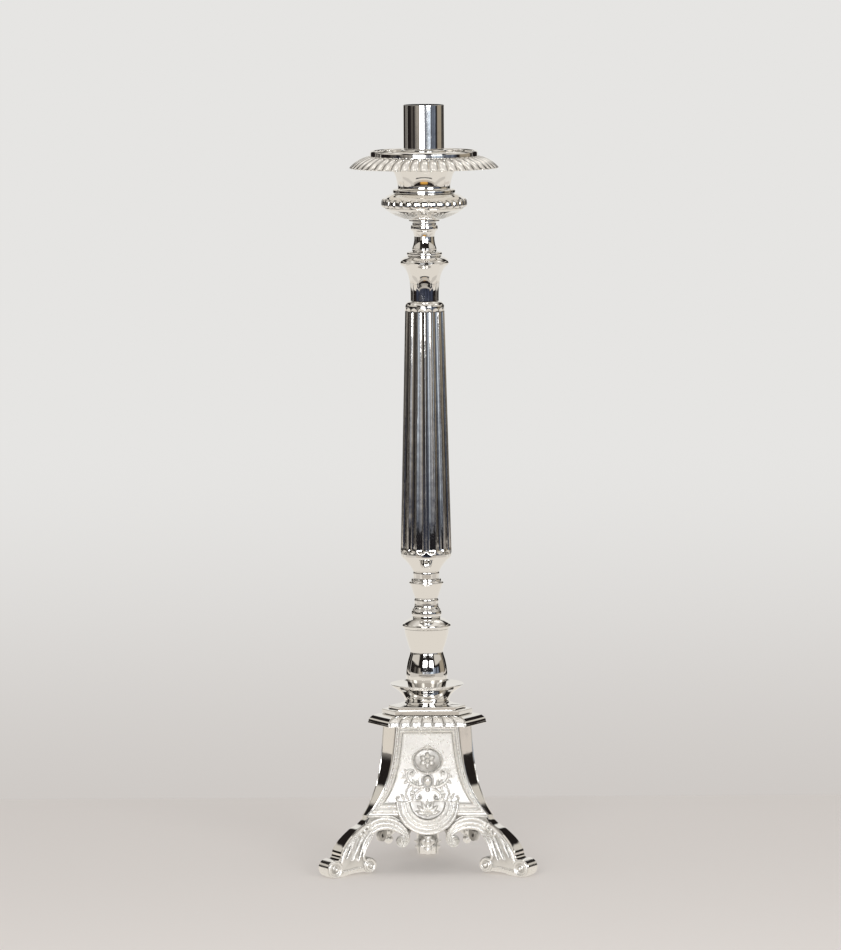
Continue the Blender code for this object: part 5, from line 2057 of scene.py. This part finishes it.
BOARDS = (
    Board((-2.2, -2.5), (-2.2, 2.5), 0.002, 0.095, (0.74, 0.68, 0.60)),
    Board((2.2, 2.5), (2.2, -2.5), 0.002, 0.095, (0.66, 0.60, 0.54)),
    Board((1.6, -1.10), (-1.6, -1.10), 0.002, 0.085, (0.54, 0.49, 0.43)),
    Board((1.6, -1.6), (-1.6, -1.6), 0.085, 0.185, (0.50, 0.46, 0.41)),
    Board((-1.15, -1.1), (-1.15, 0.25), 0.002, 0.185, (0.62, 0.58, 0.53)),
    Board((1.15, 0.25), (1.15, -1.1), 0.002, 0.185, (0.60, 0.56, 0.51)),
    Board((0.35, -0.5), (-0.35, -0.5), 0.235, 0.305, (0.014, 0.013, 0.015)))


@dataclass(frozen=True)
class Studio:
    """Pale floor and backdrop, two soft lights, and what the silver mirrors."""

    cards: tuple[Card, ...] = (
        Card(-10.5, 1.08, 0.45, 1.42, 2.6, 7.5),
        Card(27.0, 1.05, 0.66, 1.40, 2.6, 6.4))
    paper_low: Colour = (0.610, 0.578, 0.552)
    paper_high: Colour = (0.791, 0.783, 0.768)
    room: Colour = (0.016, 0.013, 0.012)
    lamp: Colour = (1.6, 1.55, 1.46)
    plaster_low: Colour = (0.46, 0.425, 0.38)
    plaster_high: Colour = (0.76, 0.72, 0.67)
    even_light: Colour = (0.62, 0.61, 0.6)
    floor_matt: Colour = (0.64, 0.61, 0.585)
    floor_glow: Colour = (0.644, 0.610, 0.591)
    floor_glow_strength: float = 0.22
    table: Colour = (0.77, 0.722, 0.655)
    table_edge: float = 1.08
    lens: float = 228.5
    eye: Colour = (-0.0051, -5.868, 0.974)
    look_down: float = 5.7
    roll: float = -0.334

    def lights(self) -> None:
        """Add the soft lights as area lights that the camera doesn't see."""
        for i, card in enumerate(self.cards):
            tall = card.high - card.low
            data = bpy.data.lights.new(f"softbox_{i}", "AREA")
            data.shape = "RECTANGLE"
            data.size, data.size_y = card.width, tall
            data.energy = card.radiance * math.pi * card.width * tall
            light = into_scene(f"softbox_{i}", data)
            angle = math.radians(card.azimuth)
            light.location = (SPINDLE.x + card.distance * math.sin(angle),
                              SPINDLE.y - card.distance * math.cos(angle),
                              (card.low + card.high) / 2)
            light.rotation_euler = (math.radians(90), 0.0, angle)
            light.visible_camera = False

    @staticmethod
    def window(desk: NodeDesk, value: Socket, limits: Pair, soft: float) -> Socket:
        """1 where a value lies between two limits, with soft edges.

        Args:
            desk: the desk of the tree.
            value: the value.
            limits: the two limits.
            soft: half width of the soft edges.

        Returns:
            The result.
        """
        rise = desk.smooth(value, limits[0] - soft, limits[0] + soft)
        fall = desk.smooth(value, limits[1] - soft, limits[1] + soft)
        return desk.minus(rise, fall)

    def mirrored_room(self, desk: NodeDesk, direction: Socket, azimuth: Socket,
                      elevation: Socket) -> Socket:
        """Colour of the room, the patches and the ceiling that the silver mirrors.

        Args:
            desk: the desk of the world's tree.
            direction: the direction that is looked in.
            azimuth: its azimuth in degrees, 0 at the camera's side.
            elevation: its elevation in degrees.

        Returns:
            The colour.
        """
        both_sides = desk.math("ABSOLUTE", azimuth)
        colour: object = (*self.room, 1)
        stretched = desk.add("ShaderNodeMapping", {"Vector": direction,
                                                   "Scale": (34.0, 34.0, 5.0)}).outputs[0]
        streaks = desk.add("ShaderNodeTexNoise", {"Vector": stretched, "Scale": 1.0,
                                                  "Detail": 4.0})
        streak = desk.add("ShaderNodeMapRange", {"Value": streaks.outputs[0], "From Min": 0.4,
                                                 "From Max": 0.6, "To Min": 0.1,
                                                 "To Max": 1.8}).outputs[0]
        for patch in ROOM:
            across = both_sides if patch.side is Side.BOTH else azimuth
            inside = desk.times(self.window(desk, across, patch.azimuths, patch.soft),
                                self.window(desk, elevation, patch.elevations, 1.2))
            painted: object = (*patch.tint, 1)
            if patch.mottle:
                strength = desk.plus(desk.times(streak, patch.mottle), 1.0 - patch.mottle)
                painted = desk.add("ShaderNodeVectorMath", {0: patch.tint, "Scale": strength},
                                   operation="SCALE").outputs[0]
            colour = desk.mix(inside, colour, painted)
        ceiling = desk.smooth(elevation, 33.0, 46.0)
        lamps = desk.add("ShaderNodeTexVoronoi", {"Vector": direction, "Scale": 2.6})
        height = desk.smooth(elevation, 46.0, 64.0)
        plaster = desk.mix(height, (*self.plaster_low, 1), (*self.plaster_high, 1))
        overhead = desk.mix(desk.smooth(lamps.outputs["Distance"], 0.16, 0.5), (*self.lamp, 1),
                            plaster)
        return desk.mix(ceiling, colour, overhead)

    def world(self) -> None:
        """Backdrop for the camera, a dim even light for matt surfaces, a room for the silver."""
        world = bpy.data.worlds.new("studio")
        bpy.context.scene.world = world
        world.use_nodes = True
        world.node_tree.nodes.clear()
        desk = NodeDesk(world.node_tree)
        direction = desk.add("ShaderNodeTexCoord").outputs["Generated"]
        parts = desk.add("ShaderNodeSeparateXYZ", {"Vector": direction})
        x, y, z = (parts.outputs[i] for i in range(3))
        to_degrees = 180.0 / math.pi
        azimuth = desk.times(desk.math("ARCTAN2", x, desk.times(y, -1.0)), to_degrees)
        elevation = desk.times(desk.math("ARCSINE", z), to_degrees)
        colour = self.mirrored_room(desk, direction, azimuth, elevation)
        glossy = desk.add("ShaderNodeBackground", {"Color": colour, "Strength": 1.0})
        paper = desk.mix(desk.smooth(elevation, -9.3, -5.3), (*self.paper_low, 1),
                         (*self.paper_high, 1))
        seen = desk.add("ShaderNodeBackground", {"Color": paper, "Strength": 1.0})
        matt = desk.add("ShaderNodeBackground", {"Color": (*self.even_light, 1),
                                                 "Strength": 1.0})
        rays = desk.add("ShaderNodeLightPath")
        first = desk.add("ShaderNodeMixShader", {0: rays.outputs["Is Diffuse Ray"],
                                                 1: glossy.outputs[0], 2: matt.outputs[0]})
        second = desk.add("ShaderNodeMixShader", {0: rays.outputs["Is Camera Ray"],
                                                  1: first.outputs[0], 2: seen.outputs[0]})
        desk.add("ShaderNodeOutputWorld", {"Surface": second.outputs[0]})

    def floor(self) -> None:
        """A wide pale floor whose far edge lies close behind the object."""
        back, side, front = 0.43, 4.0, -4.5
        mesh = bpy.data.meshes.new("floor")
        mesh.from_pydata([(-side, front, 0.0), (side, front, 0.0), (side, back, 0.0),
                          (-side, back, 0.0)], [], [(0, 1, 2, 3)])
        mat, desk = bare_material("pale_floor")
        where = desk.add("ShaderNodeTexCoord").outputs["Object"]
        centred = desk.add("ShaderNodeMapping", {"Vector": where,
                                                 "Location": (0.0, -SPINDLE.y, 0.0)})
        across = desk.add("ShaderNodeSeparateXYZ", {"Vector": centred.outputs[0]}).outputs["Y"]
        matt = desk.add("ShaderNodeBsdfDiffuse", {"Color": (*self.floor_matt, 1)})
        glow = desk.add("ShaderNodeEmission", {"Color": (*self.floor_glow, 1),
                                               "Strength": self.floor_glow_strength})
        matt = desk.add("ShaderNodeAddShader", {0: matt.outputs[0], 1: glow.outputs[0]})
        white = desk.add("ShaderNodeEmission", {"Color": (*self.table, 1), "Strength": 1.0})
        beyond = desk.add("ShaderNodeBsdfTransparent")
        table_end = desk.smooth(across, -self.table_edge - 0.03, -self.table_edge + 0.03)
        mirrored_floor = desk.add("ShaderNodeMixShader", {
            0: table_end, 1: beyond.outputs[0], 2: white.outputs[0]})
        rays = desk.add("ShaderNodeLightPath")
        both = desk.add("ShaderNodeMixShader", {0: rays.outputs["Is Glossy Ray"],
                                                1: matt.outputs[0], 2: mirrored_floor.outputs[0]})
        desk.add("ShaderNodeOutputMaterial", {"Surface": both.outputs[0]})
        mesh.materials.append(mat)
        into_scene("floor", mesh)

    def low_cards(self) -> None:
        """Low boards round the table, which only the silver sees."""
        for i, (start, end, foot, top, tint) in enumerate(BOARDS):
            mesh = bpy.data.meshes.new(f"board_{i}")
            mesh.from_pydata([(x + SPINDLE.x, y + SPINDLE.y, z) for (x, y), z in
                              ((start, foot), (end, foot), (end, top), (start, top))],
                             [], [(0, 1, 2, 3)])
            mat, desk = bare_material(f"board_{i}")
            glow = desk.add("ShaderNodeEmission", {"Color": (*tint, 1), "Strength": 1.0})
            desk.add("ShaderNodeOutputMaterial", {"Surface": glow.outputs[0]})
            mesh.materials.append(mat)
            board = into_scene(f"board_{i}", mesh)
            board.visible_camera = False
            board.visible_diffuse = False
            board.visible_shadow = False

    def camera(self) -> None:
        """A long lens in front of the base, a little above the drip pan."""
        data = bpy.data.cameras.new("camera")
        data.sensor_fit = "VERTICAL"
        data.sensor_height = 36.0
        data.sensor_width = 36.0
        data.lens = self.lens
        data.clip_end = 50.0
        eye = into_scene("camera", data)
        eye.location = (self.eye[0], SPINDLE.y + self.eye[1], self.eye[2])
        tilt = Quaternion((1.0, 0.0, 0.0), math.radians(90.0 - self.look_down))
        roll = Quaternion((0.0, 0.0, 1.0), math.radians(self.roll))
        eye.rotation_mode = "QUATERNION"
        eye.rotation_quaternion = tilt @ roll
        bpy.context.scene.camera = eye

    def build(self) -> None:
        """Set up the whole studio."""
        self.camera()
        self.world()
        self.lights()
        self.floor()
        self.low_cards()
        bpy.context.scene.view_settings.view_transform = "Standard"
        LOG.info("studio ready")


# --- the whole ---

def main() -> None:
    """Build the studio and the candlestick, piece by piece."""
    logging.basicConfig(level=logging.INFO, format="%(name)s: %(message)s")
    Studio().build()
    finishes = Finishes.build()
    shop = Workshop(finishes)
    plan = BasePlan()
    for part in (CandleSocket(), DripPan(), Knop(), Shaft(), Cornice(plan), FacePanel(plan),
                 Cartouche(plan), CornerStrip(plan), ScrollBracket(plan), Pendant(plan),
                 ScrollFoot(plan)):
        part.make(shop)
    dress_hardware(finishes)


if __name__ == "__main__":
    main()
